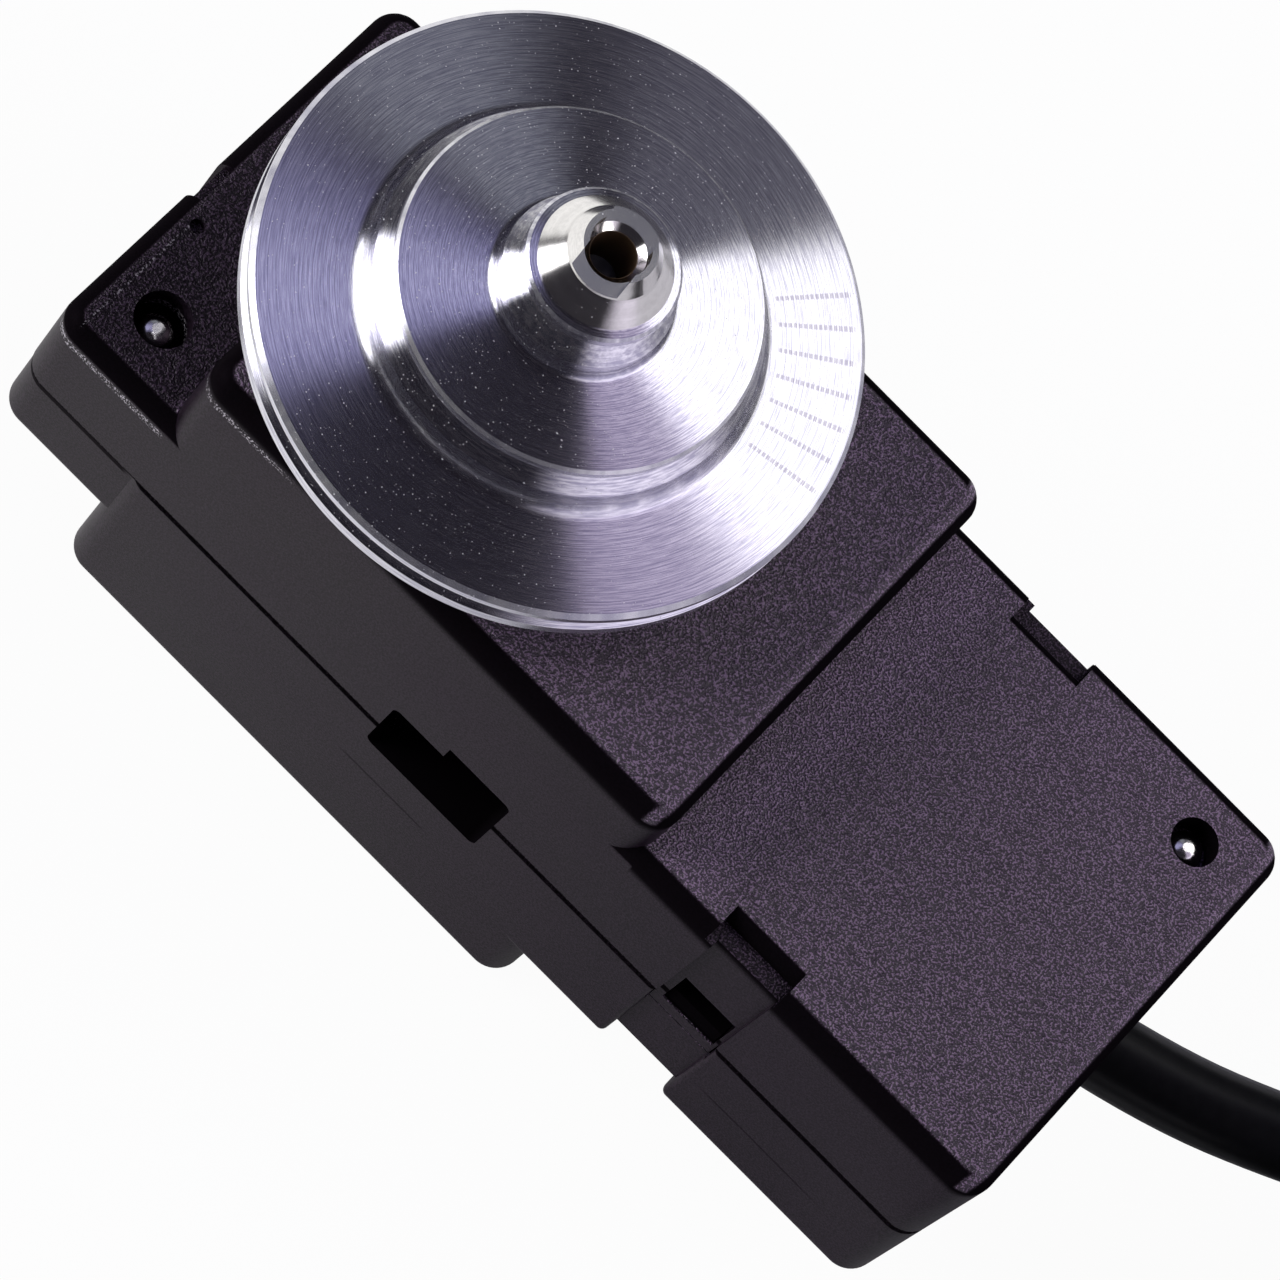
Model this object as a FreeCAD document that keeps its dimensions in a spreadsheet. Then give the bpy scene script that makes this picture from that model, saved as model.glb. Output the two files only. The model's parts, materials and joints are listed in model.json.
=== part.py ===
import FreeCAD, Part
import math
import os
import re
import Sketcher
from FreeCAD import Placement, Rotation, Vector

# Driving sizes in millimetres and degrees. Places along the case start at its pulley end,
# heights start at the back of the deep block.
SIZES = {
    # case outline
    "case_length": 100.0,
    "case_width": 41.8,
    "wall": 2.0,
    "roof": 2.0,
    "back_floor": 2.2,
    "corner_radius": 2.5,
    "top_radius": 1.85,
    "back_radius": 1.2,
    "raised_start": 12.0,
    "raised_end": 62.2,
    "raised_top": 44.0,
    "pulley_end_top": 32.3,
    "cable_end_top": 37.0,
    "deep_start": 11.7,
    "deep_end": 62.4,
    "cable_end_back": 7.9,
    "pulley_end_back": 10.7,
    "pulley_end_inset": 0.5,
    "parting_low": 20.3,
    "parting_high": 22.0,
    "parting_step": 46.0,
    "seam_height": 0.25,
    "seam_depth": 0.4,
    "fit_gap": 0.15,
    "cut_over": 1.0,
    # rack slot
    "slot_start": 40.6,
    "slot_end": 52.8,
    "slot_floor": 16.9,
    "slot_low_top": 25.0,
    "slot_high_top": 26.8,
    "slot_round": 0.7,
    "shelf_thickness": 1.7,
    "guide_thickness": 1.6,
    # snap latches
    "latch_start": 71.2,
    "latch_width": 6.7,
    "latch_recess": 0.75,
    "latch_round": 0.6,
    "notch_lead": 0.8,
    "notch_trail": 0.1,
    "notch_depth": 2.4,
    "notch_drop": 1.5,
    "notch_round": 1.4,
    "tongue_reach": 2.9,
    "window_lead": 0.8,
    "window_trail": 0.3,
    "window_below": 1.4,
    "window_above": 4.3,
    "back_notch_height": 3.2,
    "hook_thickness": 1.6,
    "hook_reach": 1.1,
    "hook_height": 2.0,
    "hook_root": 3.5,
    # case screws
    "pulley_screw_in": 6.1,
    "pulley_screw_side": 14.7,
    "pulley_bore_radius": 2.45,
    "pulley_head_depth": 1.9,
    "cable_screw_in": 6.5,
    "cable_screw_side": 15.15,
    "cable_bore_radius": 2.1,
    "cable_head_depth": 1.5,
    "head_radius": 1.75,
    "head_height": 1.5,
    "crown_share": 0.9,
    "shank_radius": 1.1,
    "shank_room": 0.2,
    "thread_fit": 0.02,
    "thread_length": 6.0,
    "column_wall": 1.95,
    # marks on the pulley end
    "dimple_radius": 0.65,
    "dimple_in": 2.57,
    "dimple_side": 6.83,
    "dimple_depth": 0.6,
    "edge_notch_near": 0.9,
    "edge_notch_far": 4.9,
    "edge_notch_in": 1.3,
    "edge_notch_drop": 1.2,
    "edge_recess": 0.5,
    # shaft and ball bearings
    "shaft_from_end": 28.0,
    "shaft_radius": 3.175,
    "shaft_fit": 0.02,
    "shaft_end_gap": 0.4,
    "shaft_hole_radius": 5.6,
    "bearing_radius": 7.9375,
    "bearing_width": 4.978,
    "bearing_fit": 0.02,
    "ring_wall": 1.25,
    "ball_radius": 1.05,
    "ball_clearance": 0.12,
    "cage_thickness": 0.6,
    "cage_height": 2.8,
    "relief_depth": 1.0,
    "boss_radius": 10.0,
    "boss_height": 3.0,
    "boss_lip": 1.2,
    "retainer_radius": 12.8,
    "retainer_hole": 6.0,
    "retainer_thickness": 1.2,
    "retainer_screw_circle": 10.4,
    "retainer_turn": 60.0,
    "small_head_radius": 1.7,
    "small_head_height": 1.2,
    "small_shank_radius": 0.9,
    "small_thread_length": 2.0,
    "clip_thickness": 0.8,
    "clip_radius": 5.0,
    "clip_groove": 0.6,
    "clip_opening": 2.6,
    # pulley and nose
    "pulley_gap": 5.3,
    "pulley_hub_gap": 0.6,
    "pulley_hub_radius": 6.0,
    "washer_radius": 4.6,
    "disc_radius": 25.0,
    "rim_width": 4.0,
    "rim_chamfer": 0.4,
    "rim_rear_land": 1.4,
    "rim_groove_width": 1.6,
    "rim_groove_depth": 1.0,
    "middle_radius": 15.0,
    "middle_height": 4.8,
    "middle_land": 0.9,
    "middle_foot_radius": 15.9,
    "middle_foot_height": 2.0,
    "middle_foot_flare": 1.4,
    "middle_groove_radius": 14.2,
    "small_radius": 6.3,
    "small_height": 5.3,
    "small_land": 1.0,
    "small_foot_radius": 7.1,
    "small_foot_height": 1.8,
    "small_foot_flare": 0.7,
    "small_groove_radius": 5.4,
    "edge_break": 0.25,
    "nose_radius": 5.45,
    "nose_skirt": 0.3,
    "nose_shoulder_radius": 3.85,
    "nose_shoulder_height": 2.35,
    "nose_tip_radius": 3.0,
    "nose_height": 3.8,
    "nose_spigot": 3.0,
    "nose_bore_radius": 1.9,
    "countersink_radius": 2.5,
    "nose_slot_width": 4.3,
    "nose_slot_depth": 1.3,
    "nose_slot_turn": 8.0,
    "shaft_hole_depth": 6.0,
    # pinion
    "tooth_count": 32.0,
    "pitch_radius": 12.7,
    "pressure_angle": 20.0,
    "root_share": 1.25,
    "pinion_width": 7.0,
    "rack_clearance": 0.6,
    "pinion_hub_radius": 6.0,
    "pinion_hub_length": 5.0,
    "spacer_radius": 4.4,
    "grub_radius": 1.2,
    "grub_length": 2.4,
    # encoder
    "code_radius": 14.0,
    "code_thickness": 0.6,
    "slit_count": 36.0,
    "slit_length": 3.0,
    "slit_width": 0.8,
    "slit_margin": 1.0,
    "code_hub_radius": 4.6,
    "code_flange_radius": 7.0,
    "code_flange": 1.4,
    "clamp_thickness": 1.0,
    # circuit board
    "board_level": 28.4,
    "board_thickness": 1.6,
    "board_start": 38.0,
    "board_end_gap": 19.0,
    "board_width": 33.0,
    "post_in": 3.0,
    "post_spacing": 12.5,
    "post_side": 12.5,
    "post_radius": 2.6,
    "board_thread_length": 4.0,
    "reader_reach": 3.5,
    "reader_length": 8.0,
    "reader_width": 9.0,
    "reader_height": 7.0,
    "reader_floor": 2.0,
    "reader_gap": 2.4,
    "reader_throat": 5.0,
    "chip_in": 16.5,
    "chip_size": 8.0,
    "chip_height": 1.4,
    "header_in": 7.5,
    "header_length": 6.0,
    "header_width": 10.0,
    "header_height": 3.0,
    "header_plug_length": 4.0,
    "header_plug_inset": 0.3,
    "core_radius": 0.55,
    "core_spacing": 2.0,
    "core_bundle": 1.3,
    # lead where it passes the case
    "cable_radius": 3.5,
    "cable_side": 3.4,
    "cable_fit": 0.02,
    "grommet_wall": 1.15,
    "grommet_flange_radius": 6.2,
    "grommet_flange": 2.0,
    "cable_inner_length": 9.0,
    "stop_radius": 5.4,
    "stop_length": 2.0,
    # lead put away
    "coil_from_end": 70.0,
    "coil_side": -5.0,
    "coil_columns": 2.0,
    "coil_layers": 4.0,
    "coil_middle_radius": 35.0,
    "coil_base": 1.0,
    "tie_thickness": 0.7,
    "tie_width": 5.0,
    "tie_gap": 0.3,
    "tie_turn": 20.0,
    "plug_from_coil": 30.0,
    "tail_length": 15.0,
    "plug_relief_length": 9.0,
    "plug_relief_tip": 4.3,
    "plug_relief_foot": 4.5,
    "plug_length": 24.0,
    "plug_width": 14.0,
    "plug_height": 9.0,
    "plug_round": 1.6,
    "plug_shell_length": 12.0,
    "plug_shell_width": 12.0,
    "plug_shell_height": 4.5,
    "plug_shell_wall": 0.4,
    "plug_tongue_height": 1.6,
}
BALL_COUNT = 8
RETAINER_SCREWS = 3
CORE_COUNT = 4
SAME = 1e-4
ARC_SHARE = 0.45
TUBE_TOLERANCE = 0.02

# The lead from where it leaves the end wall to the top of its coil, in millimetres
LEAD_ROUTE = [
    (0.0, 0.0, 0.0),
    (7.0, 1.8, 0.0),
    (16.5, 5.8, 0.5),
    (27.0, 11.0, 1.8),
    (36.8, 16.6, 3.0),
]

doc = FreeCAD.newDocument("rotary_motion_sensor")
sheet = doc.addObject("Spreadsheet::Sheet", "Sizes")
for row, (alias, value) in enumerate(SIZES.items(), start=1):
    sheet.set(f"A{row}", alias)
    sheet.set(f"B{row}", str(value))
    sheet.setAlias(f"B{row}", alias)
doc.recompute()
nodes = []


def size(alias):
    """One driving size, read from the sheet."""
    return float(getattr(sheet, alias))


def formula(text):
    """Write 'wall + fit_gap' as an expression on the sheet; function names keep their brackets."""
    return re.sub(r"\b(?!pi\b)[a-z]\w*\b(?!\()", lambda word: "Sizes." + word.group(), text)


def bind(thing, **sizes):
    for name, text in sizes.items():
        thing.setExpression(name, formula(text))


def place(thing, x="0", y="0", z="0"):
    for axis, text in (("x", x), ("y", y), ("z", z)):
        thing.setExpression("Placement.Base." + axis, formula(text))


def keep(thing, label):
    """Make an object one of the handed-over sub-parts, under its own name."""
    thing.Label = label
    nodes.append(thing)
    return thing


# Places that several sub-parts share
START = "(-case_length / 2)"
END = "(case_length / 2)"
SIDE = "(case_width / 2)"
RIM = f"({SIDE} - seam_depth)"
AXIS = "(shaft_from_end - case_length / 2)"
REAR_SEAT = "(back_floor + relief_depth)"
REAR_TOP = f"({REAR_SEAT} + bearing_width)"
FRONT_TOP = "(raised_top + boss_height - boss_lip)"
FRONT_SEAT = f"({FRONT_TOP} - bearing_width)"
PINION_LOW = "(slot_floor + rack_clearance)"
PINION_FOOT = f"({PINION_LOW} - pinion_hub_length)"
PINION_TOP = f"({PINION_LOW} + pinion_width)"
BOARD_TOP = "(board_level + board_thickness)"
BOARD_END = f"({END} - board_end_gap)"
CODE_LOW = f"({BOARD_TOP} + reader_floor + (reader_gap - code_thickness) / 2)"
CODE_TOP = f"({CODE_LOW} + code_thickness)"
DISC_BACK = "(raised_top + pulley_gap)"
DISC_FRONT = f"({DISC_BACK} + rim_width)"
MIDDLE_TOP = f"({DISC_FRONT} + middle_height)"
PULLEY_TOP = f"({MIDDLE_TOP} + small_height)"
PULLEY_FOOT = "(raised_top + boss_height + pulley_hub_gap)"
NOSE_TOP = f"({PULLEY_TOP} + nose_height)"
SHAFT_TOP = f"({PULLEY_TOP} - nose_spigot)"
SHAFT_BORE = "(shaft_radius + shaft_fit)"
PITCH = f"((bearing_radius + {SHAFT_BORE}) / 2)"
TONGUE_TIP = "(parting_high - tongue_reach)"
LATCH = ("latch_start - case_length / 2", "latch_start + latch_width - case_length / 2")
HOLE_RADIUS = "(cable_radius + cable_fit + grommet_wall)"
COIL_X = f"({END} + coil_from_end)"
COIL_HALF = "(coil_columns * cable_radius)"
TURN_RADIUS = "(coil_middle_radius + (coil_columns - 1) * cable_radius)"
CASE_SCREWS = (
    ("pulley", f"{START} + pulley_screw_in", "-pulley_screw_side", "parting_low"),
    ("cable", f"{END} - cable_screw_in", "cable_screw_side", "parting_high"),
)


def from_end(text):
    """A place measured from the pulley end, in the case's own frame."""
    return f"({text} - case_length / 2)"


def new_body(label):
    return keep(doc.addObject("PartDesign::Body", label), label)


def origin_part(body, role):
    return next(part for part in body.Origin.OriginFeatures if part.Role == role)


def new_sketch(body, plane="XY_Plane", lift="0"):
    sketch = body.newObject("Sketcher::SketchObject", body.Name + "_sketch")
    sketch.AttachmentSupport = [(origin_part(body, plane), "")]
    sketch.MapMode = "FlatFace"
    sketch.setExpression("AttachmentOffset.Base.z", formula(lift))
    return sketch


def fix_point(sketch, element, point, spot, across, up):
    for kind, now, text in (("DistanceX", spot.x, across), ("DistanceY", spot.y, up)):
        index = sketch.addConstraint(Sketcher.Constraint(kind, element, point, now))
        sketch.setExpression(f"Constraints[{index}]", formula(text))


def outline(sketch, corners):
    """A closed outline of straight lines, each corner fixed to a place across and up the sketch."""
    step = 2 * math.pi / len(corners)
    spots = [Vector(math.cos(i * step), math.sin(i * step), 0) for i in range(len(corners))]
    lines = [
        sketch.addGeometry(Part.LineSegment(spot, spots[(i + 1) % len(spots)]))
        for i, spot in enumerate(spots)
    ]
    for i, line in enumerate(lines):
        following = lines[(i + 1) % len(lines)]
        sketch.addConstraint(Sketcher.Constraint("Coincident", line, 2, following, 1))
    for line, spot, (across, up) in zip(lines, spots, corners):
        fix_point(sketch, line, 1, spot, across, up)
    return sketch


def rectangle(sketch, left, right, low, high):
    return outline(sketch, [(left, low), (right, low), (right, high), (left, high)])


def circle(sketch, across, up, radius):
    spot = Vector(1, 1, 0)
    element = sketch.addGeometry(Part.Circle(spot, Vector(0, 0, 1), 1))
    fix_point(sketch, element, 3, spot, across, up)
    index = sketch.addConstraint(Sketcher.Constraint("Radius", element, 1.0))
    sketch.setExpression(f"Constraints[{index}]", formula(radius))
    return sketch


def both_sides(sketch, left, right, near, far):
    """A rectangle at each long wall, near and far measured from the middle of the case."""
    rectangle(sketch, left, right, near, far)
    return rectangle(sketch, left, right, f"-({far})", f"-({near})")


def pad(sketch, length, symmetric=False):
    feature = sketch.getParent().newObject("PartDesign::Pad", sketch.Name + "_pad")
    feature.Profile = sketch
    feature.SideType = "Symmetric" if symmetric else "One side"
    bind(feature, Length=length)
    doc.recompute()
    return feature


def pocket(sketch, length, symmetric=False):
    """Cut against the sketch's normal, and make sure that something was cut."""
    body = sketch.getParent()
    before = body.Shape.Volume
    feature = body.newObject("PartDesign::Pocket", sketch.Name + "_pocket")
    feature.Profile = sketch
    feature.SideType = "Symmetric" if symmetric else "One side"
    bind(feature, Length=length)
    doc.recompute()
    if not body.Shape.Volume < before - SAME:
        raise RuntimeError(f"{feature.Name} cuts nothing")
    return feature


def turn(sketch, kind="Revolution", axis="V_Axis"):
    feature = sketch.getParent().newObject("PartDesign::" + kind, sketch.Name + "_turned")
    feature.Profile = sketch
    feature.ReferenceAxis = (sketch, [axis])
    feature.Angle = 360
    doc.recompute()
    return feature


def pattern(feature, count):
    """Copies of a feature round its body's upright axis."""
    body = feature.getParent()
    copies = body.newObject("PartDesign::PolarPattern", feature.Name + "_pattern")
    copies.Originals = [feature]
    copies.Axis = (origin_part(body, "Z_Axis"), [""])
    copies.Angle = 360
    copies.Occurrences = round(count)
    body.Tip = copies
    doc.recompute()


def round_edges(body, wanted, radius):
    base = body.Tip
    box = base.Shape.BoundBox
    edges = enumerate(base.Shape.Edges, start=1)
    names = [f"Edge{i}" for i, edge in edges if wanted(edge, box)]
    feature = body.newObject("PartDesign::Fillet", body.Name + "_round")
    feature.Base = (base, names)
    bind(feature, Radius=radius)
    doc.recompute()


def upright(edge):
    tops = [vertex.Point for vertex in edge.Vertexes]
    return len(tops) == 2 and math.hypot(tops[0].x - tops[1].x, tops[0].y - tops[1].y) < SAME


def upright_at_start(edge, box):
    return upright(edge) and abs(edge.Vertexes[0].X - box.XMin) < SAME


def upright_at_end(edge, box):
    return upright(edge) and abs(edge.Vertexes[0].X - box.XMax) < SAME


def upright_beside_latch(edge, box):
    """The outer corners where a side wall stops at its latch."""
    start = size("latch_start") - size("case_length") / 2
    x, y = edge.Vertexes[0].X, edge.Vertexes[0].Y
    beside = min(abs(x - start), abs(x - start - size("latch_width"))) < SAME
    return upright(edge) and beside and abs(abs(y) - size("case_width") / 2) < SAME


def upright_to_top(edge, box):
    return upright(edge) and max(v.Z for v in edge.Vertexes) > box.ZMax - SAME


def upright_to_back(edge, box):
    return upright(edge) and min(v.Z for v in edge.Vertexes) < box.ZMin + SAME


def round_top(edge, box):
    return all(v.Z > box.ZMax - SAME for v in edge.Vertexes)


def round_back(edge, box):
    return all(v.Z < box.ZMin + SAME for v in edge.Vertexes)


def slot_corner(edge, box):
    """Edges across the case at the corners of the rack slot."""
    first, last = edge.Vertexes[0].Point, edge.Vertexes[-1].Point
    x = first.x + size("case_length") / 2
    heights = size("slot_floor"), size("slot_low_top"), size("slot_high_top")
    return (
        math.hypot(first.x - last.x, first.z - last.z) < SAME
        and min(abs(x - size("slot_start")), abs(x - size("slot_end"))) < SAME
        and min(abs(first.z - height) for height in heights) < SAME
    )


def notch_back(edge, box):
    """The edge along the back of each latch notch, in the cable end's top face."""
    side = size("case_width") / 2 - size("notch_depth")
    return all(
        abs(v.Z - size("cable_end_top")) < SAME and abs(abs(v.Y) - side) < SAME for v in edge.Vertexes
    )


def every_edge(edge, box):
    return True


def slab(body, left, right, side, low, high):
    """An upright block across the case."""
    sketch = rectangle(new_sketch(body, lift=low), left, right, f"-({side})", side)
    return pad(sketch, f"({high}) - ({low})")


def hollow(body, left, right, side, low, high):
    sketch = rectangle(new_sketch(body, lift=high), left, right, f"-({side})", side)
    return pocket(sketch, f"({high}) - ({low})")


def peg(body, x, y, radius, low, high):
    return pad(circle(new_sketch(body, lift=low), x, y, radius), f"({high}) - ({low})")


def hole(body, x, y, radius, low, high):
    return pocket(circle(new_sketch(body, lift=high), x, y, radius), f"({high}) - ({low})")


def cable_hole(body):
    """Half of the round hole that the lead's grommet sits in."""
    sketch = new_sketch(body, "YZ_Plane", f"{END} + wall")
    pocket(circle(sketch, "cable_side", "parting_high", HOLE_RADIUS), "2 * wall + grommet_flange")


def post_places():
    """The four places where the board is screwed up against its posts."""
    for along in ("0", "post_spacing"):
        for side in ("-post_side", "post_side"):
            yield f"({BOARD_END} - post_in - {along})", side


def post_roof(x):
    """The roof that a board post hangs from: the raised block's or the cable end's."""
    return f"(({x}) < {from_end('raised_end')} ? raised_top : cable_end_top) - roof / 2"


def retainer_places():
    for i in range(RETAINER_SCREWS):
        angle = f"({360 / RETAINER_SCREWS * i:g} + retainer_turn)"
        yield (
            f"{AXIS} + retainer_screw_circle * cos({angle})",
            f"retainer_screw_circle * sin({angle})",
        )


def front_shell():
    body = new_body("front_shell")
    step = from_end("parting_step")
    seam_low, seam_high = "parting_low + seam_height", "parting_high + seam_height"
    slab(body, f"{START} + seam_depth", step, RIM, "parting_low", seam_low)
    round_edges(body, upright_at_start, "corner_radius - seam_depth")
    slab(body, START, step, SIDE, seam_low, "pulley_end_top")
    round_edges(body, upright_at_start, "corner_radius")
    round_edges(body, round_top, "top_radius")
    slab(body, step, f"{END} - seam_depth", RIM, "parting_high", seam_high)
    round_edges(body, upright_at_end, "corner_radius - seam_depth")
    slab(body, step, END, SIDE, seam_high, "cable_end_top")
    round_edges(body, upright_at_end, "corner_radius")
    round_edges(body, round_top, "top_radius")
    raised = from_end("raised_start"), from_end("raised_end")
    slab(body, *raised, SIDE, seam_high, "raised_top")
    round_edges(body, upright_to_top, "corner_radius")
    round_edges(body, round_top, "top_radius")

    inside = f"{SIDE} - wall"
    hollow(body, f"{START} + wall", step, inside, "parting_low", "pulley_end_top - roof")
    hollow(body, f"{raised[0]} + wall", f"{raised[1]} - wall", inside, "parting_low", "raised_top - roof")
    hollow(body, f"{step} - wall", f"{END} - wall", inside, "parting_high", "cable_end_top - roof")

    front_shell_inside(body)
    front_shell_openings(body)
    return body


def front_shell_inside(body):
    """Screw columns, bearing boss, board posts, latch walls and tongues."""
    for end, x, y, parting in CASE_SCREWS:
        peg(body, x, y, f"{end}_bore_radius + column_wall", parting, f"{end}_end_top - roof / 2")
    peg(body, AXIS, "0", "boss_radius", "raised_top - roof / 2", "raised_top + boss_height")
    peg(body, AXIS, "0", "retainer_radius", FRONT_SEAT, "raised_top - roof / 2")
    for x, y in post_places():
        peg(body, x, y, "post_radius", BOARD_TOP, post_roof(x))
    sketch = new_sketch(body, lift="cable_end_top - notch_drop - roof")
    both_sides(
        sketch,
        f"{LATCH[0]} - notch_lead - wall",
        f"{LATCH[1]} + notch_trail + wall",
        f"{SIDE} - notch_depth - wall",
        f"{SIDE} - wall / 2",
    )
    pad(sketch, "notch_drop + roof / 2")
    sketch = new_sketch(body, lift=TONGUE_TIP)
    both_sides(sketch, *LATCH, f"{SIDE} - wall", f"{SIDE} - latch_recess")
    pad(sketch, "tongue_reach + wall")


def front_shell_openings(body):
    step, slot = from_end("parting_step"), (from_end("slot_start"), from_end("slot_end"))
    sketch = new_sketch(body, "XZ_Plane")
    rectangle(sketch, slot[0], step, "parting_low - cut_over", "slot_low_top")
    pocket(sketch, "2 * case_width", symmetric=True)
    sketch = new_sketch(body, "XZ_Plane")
    rectangle(sketch, step, slot[1], "parting_low - cut_over", "slot_high_top")
    pocket(sketch, "2 * case_width", symmetric=True)
    round_edges(body, slot_corner, "slot_round")

    sketch = new_sketch(body, lift="cable_end_top + cut_over")
    both_sides(sketch, *LATCH, f"{SIDE} - latch_recess", f"{SIDE} + cut_over")
    pocket(sketch, f"cable_end_top + 2 * cut_over - {TONGUE_TIP}")
    sketch = new_sketch(body, lift="cable_end_top + cut_over")
    both_sides(
        sketch,
        f"{LATCH[0]} - notch_lead",
        f"{LATCH[1]} + notch_trail",
        f"{SIDE} - notch_depth",
        f"{SIDE} + cut_over",
    )
    pocket(sketch, "notch_drop + cut_over")
    round_edges(body, notch_back, "notch_round")
    sketch = new_sketch(body, "XZ_Plane")
    rectangle(
        sketch,
        f"{LATCH[0]} + window_lead",
        f"{LATCH[1]} - window_trail",
        "parting_high - window_below",
        "parting_high + window_above",
    )
    pocket(sketch, "2 * case_width", symmetric=True)

    for end, x, y, parting in CASE_SCREWS:
        top = f"{end}_end_top"
        hole(body, x, y, f"{end}_bore_radius", f"{top} - {end}_head_depth - head_height", top)
        hole(body, x, y, "shank_radius + shank_room", f"{parting} - cut_over", top)
    hole(body, AXIS, "0", "bearing_radius + bearing_fit", f"{FRONT_SEAT} - cut_over", FRONT_TOP)
    hole(body, AXIS, "0", "shaft_hole_radius", FRONT_TOP, "raised_top + boss_height")
    for x, y in retainer_places():
        depth = f"{FRONT_SEAT} + small_thread_length + thread_fit"
        hole(body, x, y, "small_shank_radius + thread_fit", f"{FRONT_SEAT} - cut_over", depth)
    for x, y in post_places():
        depth = f"{BOARD_TOP} + board_thread_length + thread_fit"
        hole(body, x, y, "small_shank_radius + thread_fit", f"{BOARD_TOP} - cut_over", depth)
    cable_hole(body)
    top = "pulley_end_top"
    hole(body, f"{START} + dimple_in", "-dimple_side", "dimple_radius", f"{top} - dimple_depth", top)
    sketch = new_sketch(body, lift=top)
    outer, inner = f"{START} - cut_over", f"{START} + edge_notch_in"
    rectangle(sketch, outer, inner, "-edge_notch_far", "-edge_notch_near")
    pocket(sketch, "edge_notch_drop")
    sketch = new_sketch(body, lift=top)
    rectangle(sketch, outer, f"{START} + edge_recess", "-edge_notch_far", "-edge_notch_near")
    pocket(sketch, f"{top} - parting_low + cut_over")


def back_shell():
    body = new_body("back_shell")
    step = from_end("parting_step")
    deep = from_end("deep_start"), from_end("deep_end")
    inset_side = f"({SIDE} - pulley_end_inset)"
    seam_low, seam_high = "parting_low - seam_height", "parting_high - seam_height"
    slab(body, START, step, inset_side, "pulley_end_back", "parting_low")
    round_edges(body, upright_at_start, "corner_radius")
    round_edges(body, round_back, "back_radius")
    slab(body, step, f"{END} - seam_depth", RIM, seam_low, "parting_high")
    round_edges(body, upright_at_end, "corner_radius - seam_depth")
    slab(body, step, END, SIDE, "cable_end_back", seam_high)
    round_edges(body, upright_at_end, "corner_radius")
    round_edges(body, round_back, "back_radius")
    slab(body, *deep, SIDE, "0", seam_low)
    round_edges(body, upright_to_back, "corner_radius")
    round_edges(body, round_back, "back_radius")
    slab(body, deep[0], step, RIM, seam_low, "parting_low")

    inside = f"{SIDE} - wall"
    hollow(
        body,
        f"{START} + wall",
        step,
        f"{inset_side} - wall",
        "pulley_end_back + back_floor",
        "parting_low",
    )
    hollow(body, f"{deep[0]} + wall", f"{deep[1]} - wall", inside, "back_floor", "parting_high")
    hollow(body, step, f"{END} - wall", inside, "cable_end_back + back_floor", "parting_high")

    back_shell_inside(body)
    back_shell_openings(body)
    back_shell_hooks(body)
    return body


def back_shell_inside(body):
    """Rear bearing boss, screw columns, rack shelf and guide, and the walls behind the notches."""
    peg(body, AXIS, "0", "boss_radius", "back_floor / 2", REAR_TOP)
    for end, x, y, parting in CASE_SCREWS:
        peg(body, x, y, f"{end}_bore_radius + column_wall", f"{end}_end_back + back_floor / 2", parting)
    slot = from_end("slot_start"), from_end("slot_end")
    across = f"{SIDE} - wall / 2"
    guide = f"{slot[1]} + guide_thickness"
    slab(body, slot[1], guide, across, "back_floor / 2", "parting_high - fit_gap")
    slab(body, f"{slot[0]} + wall", guide, across, "slot_floor - shelf_thickness", "slot_floor")
    sketch = new_sketch(body, lift="cable_end_back + back_floor / 2")
    both_sides(
        sketch,
        f"{LATCH[0]} - wall",
        f"{LATCH[1]} + wall",
        f"{SIDE} - notch_depth - wall",
        f"{SIDE} - wall / 2",
    )
    pad(sketch, "back_notch_height + wall - back_floor / 2")


def back_shell_openings(body):
    slot = from_end("slot_start"), from_end("slot_end")
    sketch = new_sketch(body, "XZ_Plane")
    rectangle(sketch, *slot, "slot_floor", "parting_high + cut_over")
    pocket(sketch, "2 * case_width", symmetric=True)
    round_edges(body, slot_corner, "slot_round")

    sketch = new_sketch(body, lift="parting_high + cut_over")
    both_sides(sketch, *LATCH, f"{SIDE} - latch_recess", f"{SIDE} + cut_over")
    pocket(sketch, "parting_high + 2 * cut_over - cable_end_back")
    sketch = new_sketch(body, lift="cable_end_back + back_notch_height")
    both_sides(sketch, *LATCH, f"{SIDE} - notch_depth", f"{SIDE} + cut_over")
    pocket(sketch, "back_notch_height + cut_over")
    round_edges(body, upright_beside_latch, "latch_round")
    sketch = new_sketch(body, lift="parting_high + cut_over")
    both_sides(
        sketch,
        f"{LATCH[0]} - fit_gap",
        f"{LATCH[1]} + fit_gap",
        f"{SIDE} - wall - fit_gap",
        f"{SIDE} + cut_over",
    )
    pocket(sketch, "tongue_reach + fit_gap + cut_over")

    hole(body, AXIS, "0", "bearing_radius + bearing_fit", REAR_SEAT, f"{REAR_TOP} + cut_over")
    hole(body, AXIS, "0", "shaft_hole_radius", "back_floor", REAR_SEAT)
    for end, x, y, parting in CASE_SCREWS:
        deep = f"{parting} - thread_length - thread_fit"
        hole(body, x, y, "shank_radius + thread_fit", deep, f"{parting} + cut_over")
    cable_hole(body)


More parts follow.
